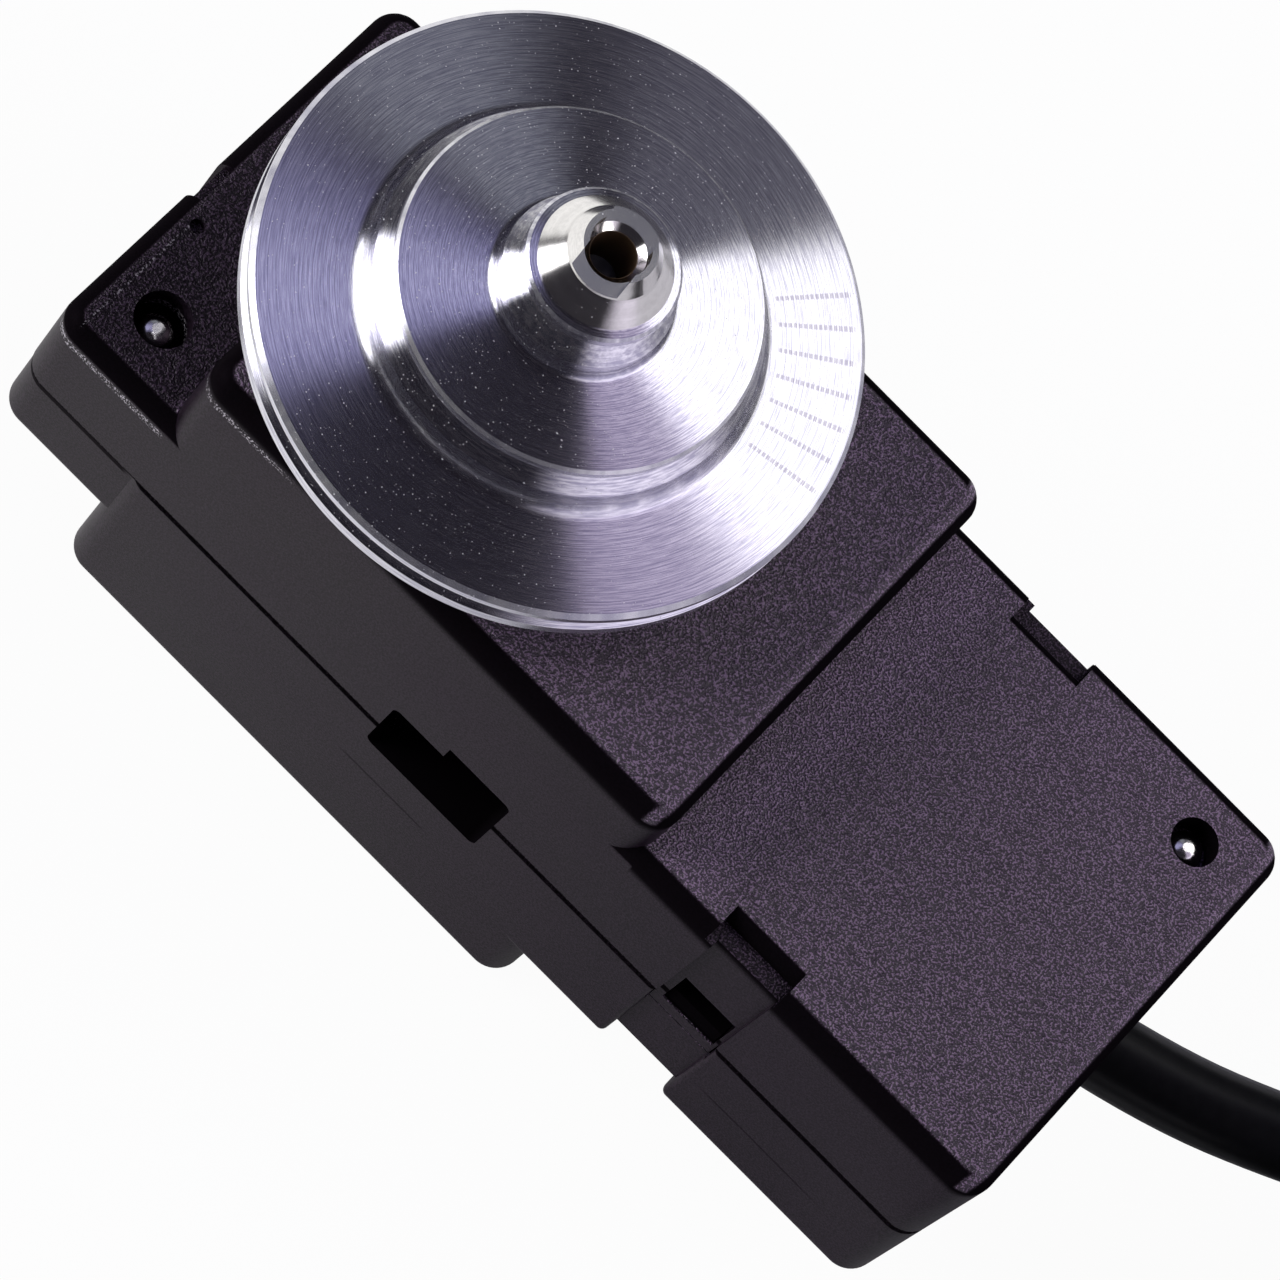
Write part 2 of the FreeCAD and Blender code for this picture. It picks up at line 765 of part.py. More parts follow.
def back_shell_hooks(body):
    """A barbed hook behind each latch tongue, its barb in the tongue's window."""
    hook = f"{LATCH[0]} + window_lead + fit_gap", f"{LATCH[1]} - window_trail - fit_gap"
    face = f"{SIDE} - wall - fit_gap"
    sketch = new_sketch(body, lift=f"{TONGUE_TIP} - fit_gap - hook_root")
    both_sides(sketch, *hook, f"{face} - hook_thickness", f"{SIDE} - wall / 2")
    pad(sketch, "hook_root")
    hook_low = "(parting_high - window_below + fit_gap)"
    sketch = new_sketch(body, lift=f"{TONGUE_TIP} - fit_gap - hook_root")
    both_sides(sketch, *hook, f"{face} - hook_thickness", face)
    pad(sketch, f"{hook_low} + hook_height - ({TONGUE_TIP} - fit_gap - hook_root)")
    sketch = new_sketch(body, lift=hook_low)
    both_sides(sketch, *hook, f"{face} - hook_thickness", f"{face} + hook_reach")
    pad(sketch, "hook_height")


def turned(label, profile):
    """A piece turned about the shaft axis from a profile of radius and height pairs."""
    body = new_body(label)
    turn(outline(new_sketch(body, "XZ_Plane"), profile))
    place(body, x=AXIS)
    return body


def ring(label, inner, outer, low, high):
    return turned(label, [(inner, low), (outer, low), (outer, high), (inner, high)])


def screw(label, head_radius, head_height, shank_radius, shank_length):
    """A domed head with its shank, head upwards, its seat at height 0."""
    body = doc.addObject("PartDesign::Body", label)
    profile = [
        ("0", f"-({shank_length})"),
        (shank_radius, f"-({shank_length})"),
        (shank_radius, "0"),
        (head_radius, "0"),
        (head_radius, head_height),
        ("0", head_height),
    ]
    turn(outline(new_sketch(body, "XZ_Plane"), profile))
    round_edges(body, round_top, f"{head_height} * crown_share")
    return body


def group(label, members):
    compound = doc.addObject("Part::Compound", label)
    compound.Links = members
    doc.recompute()
    return keep(compound, label)


def case_screws():
    members = []
    for end, x, y, parting in CASE_SCREWS:
        seat = f"({end}_end_top - {end}_head_depth - head_height)"
        body = screw(
            f"{end}_screw", "head_radius", "head_height", "shank_radius", f"{seat} - {parting} + thread_length"
        )
        place(body, x, y, seat)
        members.append(body)
    group("case_screws", members)


def small_screws(label, places, seat, through, thread):
    """Screws driven upwards, their heads under the piece that they hold."""
    members = []
    for i, (x, y) in enumerate(places):
        body = screw(
            f"{label}_{i}",
            "small_head_radius",
            "small_head_height",
            "small_shank_radius",
            f"{through} + {thread}",
        )
        body.Placement = Placement(Vector(), Rotation(Vector(1, 0, 0), 180))
        place(body, x, y, seat)
        members.append(body)
    group(label, members)


def bearing(where, seat):
    """Outer ring, inner ring, balls and cage of one ball bearing, seated at a height."""
    middle = f"({seat} + bearing_width / 2)"
    race = "ball_radius + ball_clearance"
    top = f"{seat} + bearing_width"
    outer = ring(f"{where}_bearing_outer", "bearing_radius - ring_wall", "bearing_radius", seat, top)
    inner = ring(f"{where}_bearing_inner", SHAFT_BORE, f"{SHAFT_BORE} + ring_wall", seat, top)
    for body in (outer, inner):
        turn(circle(new_sketch(body, "XZ_Plane"), PITCH, middle, race), "Groove")

    cage = ring(
        f"{where}_bearing_cage",
        f"{PITCH} - cage_thickness / 2",
        f"{PITCH} + cage_thickness / 2",
        f"{middle} - cage_height / 2",
        f"{middle} + cage_height / 2",
    )
    window = circle(new_sketch(cage, "YZ_Plane", "bearing_radius"), "0", middle, race)
    pattern(pocket(window, "bearing_radius"), BALL_COUNT)

    balls = []
    for i in range(BALL_COUNT):
        ball = doc.addObject("Part::Sphere", f"{where}_ball_{i}")
        bind(ball, Radius="ball_radius")
        angle = f"{360 / BALL_COUNT * i:g}"
        place(ball, f"{AXIS} + {PITCH} * cos({angle})", f"{PITCH} * sin({angle})", middle)
        balls.append(ball)
    group(f"{where}_bearing_balls", balls)


def shaft():
    neck = "shaft_radius - clip_groove"
    rear_clip, front_clip = f"{REAR_TOP} + clip_thickness", f"{FRONT_SEAT} - clip_thickness"
    floor = "back_floor + shaft_end_gap"
    bore_floor = f"{SHAFT_TOP} - shaft_hole_depth"
    turned(
        "shaft",
        [
            ("0", floor),
            ("shaft_radius - edge_break", floor),
            ("shaft_radius", f"{floor} + edge_break"),
            ("shaft_radius", REAR_TOP),
            (neck, REAR_TOP),
            (neck, rear_clip),
            ("shaft_radius", rear_clip),
            ("shaft_radius", front_clip),
            (neck, front_clip),
            (neck, FRONT_SEAT),
            ("shaft_radius", FRONT_SEAT),
            ("shaft_radius", SHAFT_TOP),
            ("nose_bore_radius", SHAFT_TOP),
            ("nose_bore_radius", bore_floor),
            ("0", f"{bore_floor} - nose_bore_radius / 2"),
        ],
    )


def clip(label, low):
    """An open ring sprung into a groove of the shaft."""
    body = new_body(label)
    sketch = circle(new_sketch(body, lift=low), "0", "0", "clip_radius")
    circle(sketch, "0", "0", "shaft_radius - clip_groove + shaft_fit")
    pad(sketch, "clip_thickness")
    sketch = new_sketch(body, lift=f"{low} + clip_thickness")
    rectangle(sketch, "-clip_opening / 2", "clip_opening / 2", "0", "-clip_radius - cut_over")
    pocket(sketch, "clip_thickness")
    place(body, x=AXIS)


def pulley():
    rear_groove = f"({DISC_BACK} + rim_rear_land)"
    slope = "rim_groove_width / 4"
    turned(
        "pulley",
        [
            (SHAFT_BORE, PULLEY_FOOT),
            ("pulley_hub_radius", PULLEY_FOOT),
            ("pulley_hub_radius", DISC_BACK),
            ("disc_radius - rim_chamfer", DISC_BACK),
            ("disc_radius", f"{DISC_BACK} + rim_chamfer"),
            ("disc_radius", rear_groove),
            ("disc_radius - rim_groove_depth", f"{rear_groove} + {slope}"),
            ("disc_radius - rim_groove_depth", f"{rear_groove} + rim_groove_width - {slope}"),
            ("disc_radius", f"{rear_groove} + rim_groove_width"),
            ("disc_radius", f"{DISC_FRONT} - rim_chamfer"),
            ("disc_radius - rim_chamfer", DISC_FRONT),
            *step_profile("middle", DISC_FRONT, MIDDLE_TOP),
            *step_profile("small", MIDDLE_TOP, PULLEY_TOP),
            (SHAFT_BORE, PULLEY_TOP),
        ],
    )


def step_profile(step, low, high):
    """One step of the pulley: flared foot, thread groove and top land."""
    foot = f"{low} + {step}_foot_height"
    land = f"{high} - {step}_land"
    return [
        (f"{step}_foot_radius + {step}_foot_flare", low),
        (f"{step}_foot_radius", f"{low} + {step}_foot_flare"),
        (f"{step}_foot_radius", foot),
        (f"{step}_groove_radius", f"({foot} + {land}) / 2"),
        (f"{step}_radius", land),
        (f"{step}_radius", f"{high} - edge_break"),
        (f"{step}_radius - edge_break", high),
    ]


def nose_cap():
    body = turned(
        "nose_cap",
        [
            ("0", SHAFT_TOP),
            ("shaft_radius", SHAFT_TOP),
            ("shaft_radius", PULLEY_TOP),
            ("nose_radius", PULLEY_TOP),
            ("nose_radius", f"{PULLEY_TOP} + nose_skirt"),
            ("nose_shoulder_radius", f"{PULLEY_TOP} + nose_shoulder_height"),
            ("nose_tip_radius", NOSE_TOP),
            ("0", NOSE_TOP),
        ],
    )
    floor = f"{NOSE_TOP} - nose_slot_depth"
    profile = [
        ("0", f"{NOSE_TOP} + cut_over"),
        ("countersink_radius", f"{NOSE_TOP} + cut_over"),
        ("countersink_radius", floor),
        ("nose_bore_radius", f"{floor} - (countersink_radius - nose_bore_radius)"),
        ("nose_bore_radius", f"{SHAFT_TOP} - cut_over"),
        ("0", f"{SHAFT_TOP} - cut_over"),
    ]
    turn(outline(new_sketch(body, "XZ_Plane"), profile), "Groove")
    half, reach = "(nose_slot_width / 2)", "(nose_radius + cut_over)"
    corners = []
    for side, along in ((1, 1), (-1, 1), (-1, -1), (1, -1)):
        corners.append(
            (
                f"{side} * {half} * cos(nose_slot_turn) - {along} * {reach} * sin(nose_slot_turn)",
                f"{side} * {half} * sin(nose_slot_turn) + {along} * {reach} * cos(nose_slot_turn)",
            )
        )
    pocket(outline(new_sketch(body, lift=f"{NOSE_TOP} + cut_over"), corners), "nose_slot_depth + cut_over")


def pinion():
    """A hub and root ring with one straight-flanked tooth repeated round it."""
    module = "(2 * pitch_radius / tooth_count)"
    root, tip = f"(pitch_radius - root_share * {module})", f"(pitch_radius + {module})"
    half = f"(pi * {module} / 4)"
    body = turned(
        "pinion",
        [
            (SHAFT_BORE, PINION_FOOT),
            ("pinion_hub_radius", PINION_FOOT),
            ("pinion_hub_radius", PINION_LOW),
            (root, PINION_LOW),
            (root, PINION_TOP),
            (SHAFT_BORE, PINION_TOP),
        ],
    )
    flank = f"{module} * tan(pressure_angle)"
    base = f"({root} - {module} / 2)"
    low = f"{half} + root_share * {flank}"
    high = f"{half} - {flank}"
    sketch = new_sketch(body, lift=PINION_LOW)
    outline(
        sketch,
        [
            (base, f"-({low})"),
            (root, f"-({low})"),
            (tip, f"-({high})"),
            (tip, high),
            (root, low),
            (base, low),
        ],
    )
    pattern(pad(sketch, "pinion_width"), size("tooth_count"))
    middle = f"{PINION_FOOT} + pinion_hub_length / 2"
    sketch = new_sketch(body, "YZ_Plane", "pinion_hub_radius + cut_over")
    pocket(circle(sketch, "0", middle, "grub_radius + thread_fit"), "pinion_hub_radius + cut_over")
    body = new_body("pinion_grub_screw")
    sketch = new_sketch(body, "YZ_Plane", SHAFT_BORE)
    pad(circle(sketch, "0", middle, "grub_radius"), "grub_length")
    place(body, x=AXIS)


def encoder():
    """Hub, slotted disc and clamp ring, stacked on the pinion."""
    turned(
        "encoder_hub",
        [
            (SHAFT_BORE, PINION_TOP),
            ("code_hub_radius", PINION_TOP),
            ("code_hub_radius", f"{CODE_LOW} - code_flange"),
            ("code_flange_radius", f"{CODE_LOW} - code_flange"),
            ("code_flange_radius", CODE_LOW),
            (SHAFT_BORE, CODE_LOW),
        ],
    )
    disc = ring("encoder_disc", SHAFT_BORE, "code_radius", CODE_LOW, CODE_TOP)
    sketch = new_sketch(disc, lift=CODE_TOP)
    rim = "code_radius - slit_margin"
    rectangle(sketch, f"{rim} - slit_length", rim, "-slit_width / 2", "slit_width / 2")
    pattern(pocket(sketch, "code_thickness"), size("slit_count"))
    ring("encoder_clamp", SHAFT_BORE, "code_flange_radius", CODE_TOP, f"{CODE_TOP} + clamp_thickness")


def spindle():
    shaft()
    clip("rear_clip", REAR_TOP)
    clip("front_clip", f"{FRONT_SEAT} - clip_thickness")
    ring("pinion_spacer", SHAFT_BORE, "spacer_radius", f"{REAR_TOP} + clip_thickness", PINION_FOOT)
    pinion()
    encoder()
    low, high = f"{CODE_TOP} + clamp_thickness", f"{FRONT_SEAT} - clip_thickness"
    ring("upper_spacer", SHAFT_BORE, "spacer_radius", low, high)
    ring("pulley_washer", SHAFT_BORE, "washer_radius", FRONT_TOP, PULLEY_FOOT)
    pulley()
    nose_cap()


def retainer():
    low = f"({FRONT_SEAT} - retainer_thickness)"
    body = new_body("bearing_retainer")
    sketch = circle(new_sketch(body, lift=low), AXIS, "0", "retainer_radius")
    circle(sketch, AXIS, "0", "retainer_hole")
    for x, y in retainer_places():
        circle(sketch, x, y, "small_shank_radius + shank_room")
    pad(sketch, "retainer_thickness")
    small_screws("retainer_screws", retainer_places(), low, "retainer_thickness", "small_thread_length")


def board():
    body = new_body("circuit_board")
    sketch = new_sketch(body, lift="board_level")
    rectangle(sketch, from_end("board_start"), BOARD_END, "-board_width / 2", "board_width / 2")
    for x, y in post_places():
        circle(sketch, x, y, "small_shank_radius + shank_room")
    pad(sketch, "board_thickness")
    small_screws("board_screws", post_places(), "board_level", "board_thickness", "board_thread_length")

    body = new_body("encoder_reader")
    front = f"({AXIS} + code_radius - reader_reach)"
    sketch = new_sketch(body, "XZ_Plane")
    throat = f"{front} + reader_throat"
    gap = f"{BOARD_TOP} + reader_floor"
    back, top = f"{front} + reader_length", f"{BOARD_TOP} + reader_height"
    outline(
        sketch,
        [
            (front, BOARD_TOP),
            (back, BOARD_TOP),
            (back, top),
            (front, top),
            (front, f"{gap} + reader_gap"),
            (throat, f"{gap} + reader_gap"),
            (throat, gap),
            (front, gap),
        ],
    )
    pad(sketch, "reader_width", symmetric=True)

    body = new_body("controller_chip")
    left = from_end("board_start + chip_in")
    half = "chip_size / 2"
    slab(body, left, f"{left} + chip_size", half, BOARD_TOP, f"{BOARD_TOP} + chip_height")


def header():
    """Socket under the board, the plug in its mouth and the lead's four cores."""
    left = f"({BOARD_END} - header_in)"
    right = f"({left} + header_length)"
    low = "(board_level - header_height)"
    sides = "cable_side - header_width / 2", "cable_side + header_width / 2"
    body = new_body("cable_header")
    pad(rectangle(new_sketch(body, lift=low), left, right, *sides), "header_height")
    body = new_body("header_plug")
    sketch = new_sketch(body, lift=f"{low} + header_plug_inset")
    rectangle(sketch, right, f"{right} + header_plug_length", *sides)
    pad(sketch, "header_height - 2 * header_plug_inset")

    plug_face = (
        size("case_length") / 2 - size("board_end_gap") - size("header_in") + size("header_length")
        + size("header_plug_length")
    )
    lead_end = size("case_length") / 2 - size("cable_inner_length")
    bundle, side = size("core_bundle"), size("cable_side")
    high = size("board_level") - size("header_height") / 2
    run = (lead_end - plug_face) / 4
    cores = []
    for i in range(CORE_COUNT):
        angle = 2 * math.pi * (i + 0.5) / CORE_COUNT
        near = side - bundle * math.cos(angle), size("parting_high") + bundle * math.sin(angle)
        far = side + (i - (CORE_COUNT - 1) / 2) * size("core_spacing")
        points = [
            (lead_end, *near),
            (lead_end - run, *near),
            (plug_face + run, far, high),
            (plug_face, far, high),
        ]
        cores.append(tube([Vector(*point) for point in points], size("core_radius")))
    wires = doc.addObject("Part::Feature", "core_wires")
    wires.Shape = Part.makeCompound(cores)
    keep(wires, "core_wires")


def tube(points, radius):
    """A round tube on straight runs joined by tangent arcs, as large as the runs allow."""
    edges, radii, here = [], [], points[0]
    for before, corner, after in zip(points, points[1:], points[2:]):
        back, ahead = (before - corner), (after - corner)
        reach = ARC_SHARE * min(back.Length, ahead.Length)
        half_turn = (math.pi - back.getAngle(ahead)) / 2
        radii.append(reach / math.tan(half_turn))
        back.normalize()
        ahead.normalize()
        enter, leave = corner + back * reach, corner + ahead * reach
        bisector = (back + ahead).normalize()
        apex = corner + bisector * radii[-1] * (1 / math.cos(half_turn) - 1)
        edges += [Part.LineSegment(here, enter).toShape(), Part.Arc(enter, apex, leave).toShape()]
        here = leave
    edges.append(Part.LineSegment(here, points[-1]).toShape())
    path = Part.Wire(edges)
    section = Part.Wire([Part.Circle(points[0], points[1] - points[0], radius).toShape()])
    solid = path.makePipeShell([section], True, True)
    share = solid.Volume / (math.pi * radius**2 * path.Length)
    print(f"tube {path.Length:.1f} mm, volume share {share:.4f}, radii", [round(r, 1) for r in radii])
    if abs(share - 1) > TUBE_TOLERANCE:
        raise RuntimeError("a tube's volume is not its section times its length")
    return solid


def lead():
    """Grommet, the lead's end inside the case, and the tube, coil and tie outside it."""
    bore = "cable_radius + cable_fit"
    grommet = new_body("cable_grommet")
    sketch = new_sketch(grommet, "XZ_Plane")
    inner, neck = f"{END} - wall - grommet_flange", f"{END} - wall"
    outer = f"{HOLE_RADIUS} - cable_fit"
    outline(
        sketch,
        [
            (inner, bore),
            (inner, "grommet_flange_radius"),
            (neck, "grommet_flange_radius"),
            (neck, outer),
            (END, outer),
            (END, bore),
        ],
    )
    turn(sketch, axis="H_Axis")
    place(grommet, y="cable_side", z="parting_high")

    stop = new_body("cable_stop")
    sketch = circle(new_sketch(stop, "YZ_Plane", f"{inner} - stop_length"), "0", "0", "stop_radius")
    pad(circle(sketch, "0", "0", bore), "stop_length")
    place(stop, y="cable_side", z="parting_high")

    end = new_body("cable_inner")
    sketch = new_sketch(end, "YZ_Plane", f"{END} - cable_inner_length")
    pad(circle(sketch, "0", "0", "cable_radius"), "cable_inner_length")
    place(end, y="cable_side", z="parting_high")

    leaves = Vector(size("case_length") / 2, size("cable_side"), size("parting_high"))
    run = doc.addObject("Part::Feature", "cable_tube")
    run.Shape = tube([leaves + Vector(*point) for point in LEAD_ROUTE], size("cable_radius"))
    keep(run, "cable_tube")
    coil()
    plug()


def coil():
    """The turns lying together, as one ring whose corners are cut along the outer turns."""
    inner, outer = f"(coil_middle_radius - {COIL_HALF})", f"(coil_middle_radius + {COIL_HALF})"
    top = "(coil_base + 2 * coil_layers * cable_radius)"
    body = new_body("cable_coil")
    cut = "(cable_radius * (2 - sqrt(2)))"
    corners = [
        (f"{inner} + {cut}", "coil_base"),
        (f"{outer} - {cut}", "coil_base"),
        (outer, f"coil_base + {cut}"),
        (outer, f"{top} - {cut}"),
        (f"{outer} - {cut}", top),
        (f"{inner} + {cut}", top),
        (inner, f"{top} - {cut}"),
        (inner, f"coil_base + {cut}"),
    ]
    turn(outline(new_sketch(body, "XZ_Plane"), corners))
    place(body, COIL_X, "coil_side")

    tie = new_body("cable_tie")
    sketch = new_sketch(tie, "XZ_Plane")
    strap = "(tie_gap + tie_thickness)"
    rectangle(
        sketch, f"{inner} - {strap}", f"{outer} + {strap}", f"coil_base - {strap}", f"{top} + {strap}"
    )
    rectangle(sketch, f"{inner} - tie_gap", f"{outer} + tie_gap", "coil_base - tie_gap", f"{top} + tie_gap")
    pad(sketch, "tie_width", symmetric=True)
    tie.Placement = Placement(Vector(), Rotation(Vector(0, 0, 1), size("tie_turn")))
    place(tie, COIL_X, "coil_side")


def plug():
    """The short end of the lead and its moulded plug, lying beside the coil."""
    side = f"(coil_side - {TURN_RADIUS})"
    back = f"({COIL_X} - plug_from_coil)"
    relief = f"({back} - plug_relief_length)"
    level = "coil_base + cable_radius"
    tail = new_body("cable_tail")
    sketch = new_sketch(tail, "YZ_Plane", back)
    pad(circle(sketch, "0", "0", "cable_radius"), "tail_length")
    place(tail, y=side, z=level)

    grip = new_body("plug_overmould")
    front = f"({relief} - plug_length)"
    sketch = new_sketch(grip, "YZ_Plane", front)
    half, rise = "plug_width / 2", "plug_height / 2"
    pad(rectangle(sketch, f"-{half}", half, f"-{rise}", rise), "plug_length")
    round_edges(grip, every_edge, "plug_round")
    profile = [
        (f"{relief} - plug_round", "0"),
        (back, "0"),
        (back, "plug_relief_tip"),
        (relief, "plug_relief_foot - plug_round / 2"),
        (f"{relief} - plug_round", "plug_relief_foot - plug_round / 2"),
    ]
    turn(outline(new_sketch(grip, "XZ_Plane"), profile), axis="H_Axis")
    place(grip, y=side, z=level)

    shell = new_body("plug_shell")
    sketch = new_sketch(shell, "YZ_Plane", f"{front} - plug_shell_length")
    half, rise = "plug_shell_width / 2", "plug_shell_height / 2"
    rectangle(sketch, f"-{half}", half, f"-{rise}", rise)
    half, rise = f"({half} - plug_shell_wall)", f"({rise} - plug_shell_wall)"
    rectangle(sketch, f"-{half}", half, f"-{rise}", rise)
    pad(sketch, "plug_shell_length")
    place(shell, y=side, z=level)

    tongue = new_body("plug_tongue")
    sketch = new_sketch(tongue, "YZ_Plane", f"{front} - plug_shell_length + plug_shell_wall")
    rectangle(sketch, f"-{half}", half, f"-{rise}", f"-{rise} + plug_tongue_height")
    pad(sketch, "plug_shell_length - plug_shell_wall")
    place(tongue, y=side, z=level)


def check_all():
    """Stop before anything is written if a feature failed or a sub-part is not sound."""
    doc.recompute()
    for thing in doc.Objects:
        if {"Invalid", "Error"} & set(thing.State):
            raise RuntimeError(f"{thing.Name} failed: {thing.State}")
    for node in nodes:
        if node.Shape.isNull() or not node.Shape.isValid() or not node.Shape.Solids:
            raise RuntimeError(f"{node.Label} has no sound shape")


def write_all():
    os.makedirs("parts", exist_ok=True)
    for node in nodes:
        node.Shape.exportStep(f"parts/{node.Label}.step")
        print(f"{node.Label}: {len(node.Shape.Solids)} solids, {node.Shape.Volume:.1f} mm3")


front_shell()
back_shell()
case_screws()
bearing("rear", REAR_SEAT)
bearing("front", FRONT_SEAT)
spindle()
retainer()
board()
header()
lead()
check_all()
write_all()
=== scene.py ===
# %% [markdown]
# # A rotary motion sensor
# The imported CAD part is the frame of this scene: each solid is already in its place, in metres. This
# lesson adds what solids alone can't show, which is turned metal, moulded grain, a lead that lies in easy
# curves and the light of a photographer's table.

# %% The frame
import json
import math

import bpy
import numpy as np
from mathutils import Matrix


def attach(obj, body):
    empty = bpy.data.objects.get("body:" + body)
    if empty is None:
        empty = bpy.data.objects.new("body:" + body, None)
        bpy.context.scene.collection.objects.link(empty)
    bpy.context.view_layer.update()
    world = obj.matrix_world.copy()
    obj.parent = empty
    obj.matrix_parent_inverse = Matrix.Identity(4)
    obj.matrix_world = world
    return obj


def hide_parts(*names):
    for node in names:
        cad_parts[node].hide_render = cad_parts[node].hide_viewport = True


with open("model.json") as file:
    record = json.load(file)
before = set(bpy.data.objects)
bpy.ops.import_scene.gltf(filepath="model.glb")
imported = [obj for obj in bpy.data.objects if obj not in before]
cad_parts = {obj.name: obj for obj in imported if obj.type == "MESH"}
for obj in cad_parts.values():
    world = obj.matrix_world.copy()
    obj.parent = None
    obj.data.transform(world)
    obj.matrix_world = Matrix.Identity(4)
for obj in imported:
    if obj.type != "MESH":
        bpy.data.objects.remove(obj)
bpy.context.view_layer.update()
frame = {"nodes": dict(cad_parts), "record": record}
scene = bpy.context.scene
scene.view_settings.view_transform = "Standard"
MM = 0.001

# %% [markdown]
# ## The camera
# The picture was taken from above with a long lens, a little over half a metre away. A camera can be
# turned by angles, but three measured directions say the same thing without any order of turns: where the
# picture's right side points, where the lens looks, and their cross product, which is the picture's
# upright.

# %% Camera
IMAGE_PIXELS = 1280
FOCAL_PIXELS = 6870.74
SENSOR_MM = 36.0
CAMERA_PLACE_MM = (-9.77, -247.3, 520.94)
PICTURE_RIGHT = np.array((0.70583, 0.62858, 0.32662))
LOOK = np.array((0.01882, 0.44428, -0.89569))

lens = bpy.data.cameras.new("camera")
lens.sensor_width = SENSOR_MM
lens.lens = SENSOR_MM * FOCAL_PIXELS / IMAGE_PIXELS
camera = bpy.data.objects.new("camera", lens)
axes = np.column_stack((PICTURE_RIGHT, np.cross(PICTURE_RIGHT, LOOK), -LOOK))
stand = Matrix.Translation([MM * value for value in CAMERA_PLACE_MM])
camera.matrix_world = stand @ Matrix(axes.tolist()).to_4x4()
scene.collection.objects.link(camera)
scene.camera = camera
print("lens", round(lens.lens, 2), "mm")

# %% [markdown]
# ## The lead's route
# The lead leaves the end wall through its grommet, curves gently and is put away as a tied coil that the
# picture doesn't show. It could be swept along straight runs and arcs, but a cable bends in one smooth
# line, so the route is a spline on a few given points, and the coil's turns are more points of
# that spline. The turns fill eight seats, two side by side and four high, and the lead climbs over from
# one seat to the next in a fifth of a turn.

# %% Coil
LEAD_MM = 7.0
LEAD_DIAMETER = LEAD_MM * MM
COIL_CENTRE_MM = (120.0, -5.0)
COIL_OUTER_MM = 38.5
COIL_TOP_MM = 25.5
COIL_LAYERS = 4
COIL_FIRST_ANGLE = math.radians(118.0)
COIL_LAST_ANGLE = math.radians(-90.0)
COIL_WHOLE_TURNS = 7
COIL_POINTS_PER_TURN = 24
SEAT_CHANGE_TURN = 0.2


def smooth_step(x):
    """Zero below 0, one above 1 and an easy rise between: 3x^2 - 2x^3."""
    x = np.clip(x, 0.0, 1.0)
    return x * x * (3.0 - 2.0 * x)


def coil_seats():
    """Radius and height of each seat: inwards on one layer, outwards on the next, each a diameter lower."""
    outer, inner = COIL_OUTER_MM, COIL_OUTER_MM - LEAD_MM
    orders = [(outer, inner), (inner, outer)]
    return np.array([
        (radius, COIL_TOP_MM - LEAD_MM * layer)
        for layer in range(COIL_LAYERS) for radius in orders[layer % 2]
    ])


def coil_points():
    """Clockwise turns: an even fall of the angle, with radius and height easing from seat to seat."""
    seats = coil_seats()
    turns = COIL_WHOLE_TURNS + (COIL_FIRST_ANGLE - COIL_LAST_ANGLE) / math.tau
    done = np.linspace(0.0, turns, int(turns * COIL_POINTS_PER_TURN))[:-1]
    changes = np.arange(1, len(seats)) * turns / len(seats)
    eased = smooth_step((done[:, None] - changes) / SEAT_CHANGE_TURN + 0.5)
    radius, height = (seats[0] + eased @ np.diff(seats, axis=0)).T
    angle = COIL_FIRST_ANGLE - math.tau * done
    x, y = COIL_CENTRE_MM
    return np.column_stack((x + radius * np.cos(angle), y + radius * np.sin(angle), height))


print("coil with", len(coil_seats()), "seats and", len(coil_points()), "points")

# %% Lead
LEAD_ROUTE_MM = [
    (50.0, 3.4, 22.0), (57.0, 5.2, 22.0), (66.5, 9.2, 22.5), (77.0, 14.4, 23.8), (86.8, 20.0, 25.0),
]
LEAD_END_MM = [
    (111.0, -43.5, 4.5), (104.0, -43.5, 4.5), (97.0, -43.5, 4.5), (90.0, -43.5, 4.5), (84.0, -43.5, 4.5),
]


def lead_curve(name, points_mm, radius):
    """One open spline of the third order through soft control points, with a round section."""
    curve = bpy.data.curves.new(name, "CURVE")
    curve.dimensions = "3D"
    spline = curve.splines.new("NURBS")
    spline.points.add(len(points_mm) - 1)
    weights = np.ones(len(points_mm))
    spline.points.foreach_set("co", np.column_stack((points_mm * MM, weights)).ravel())
    spline.order_u = 3
    spline.use_endpoint_u = True
    spline.resolution_u = 6
    curve.bevel_depth = radius
    curve.bevel_resolution = 6
    curve.use_fill_caps = True
    piece = bpy.data.objects.new(name, curve)
    scene.collection.objects.link(piece)
    return piece


lead_points = np.vstack((LEAD_ROUTE_MM, coil_points(), LEAD_END_MM))
lead = lead_curve("lead", lead_points, LEAD_DIAMETER / 2)
lead_length = np.linalg.norm(np.diff(lead_points, axis=0), axis=1).sum() * MM
print("lead with", len(lead_points), "points, about", round(lead_length, 2), "m")

# %% [markdown]
# ## Words for shaders
# A finish is a tree of nodes, and trees are hard to read when each node and link takes a line. Sums are
# easier. A `Wire` holds one socket: adding or multiplying wires and numbers adds Math nodes, `rise` and
# `within` make soft thresholds, `mixed` makes a colour, and `node` adds any other node with its settings
# and sockets.


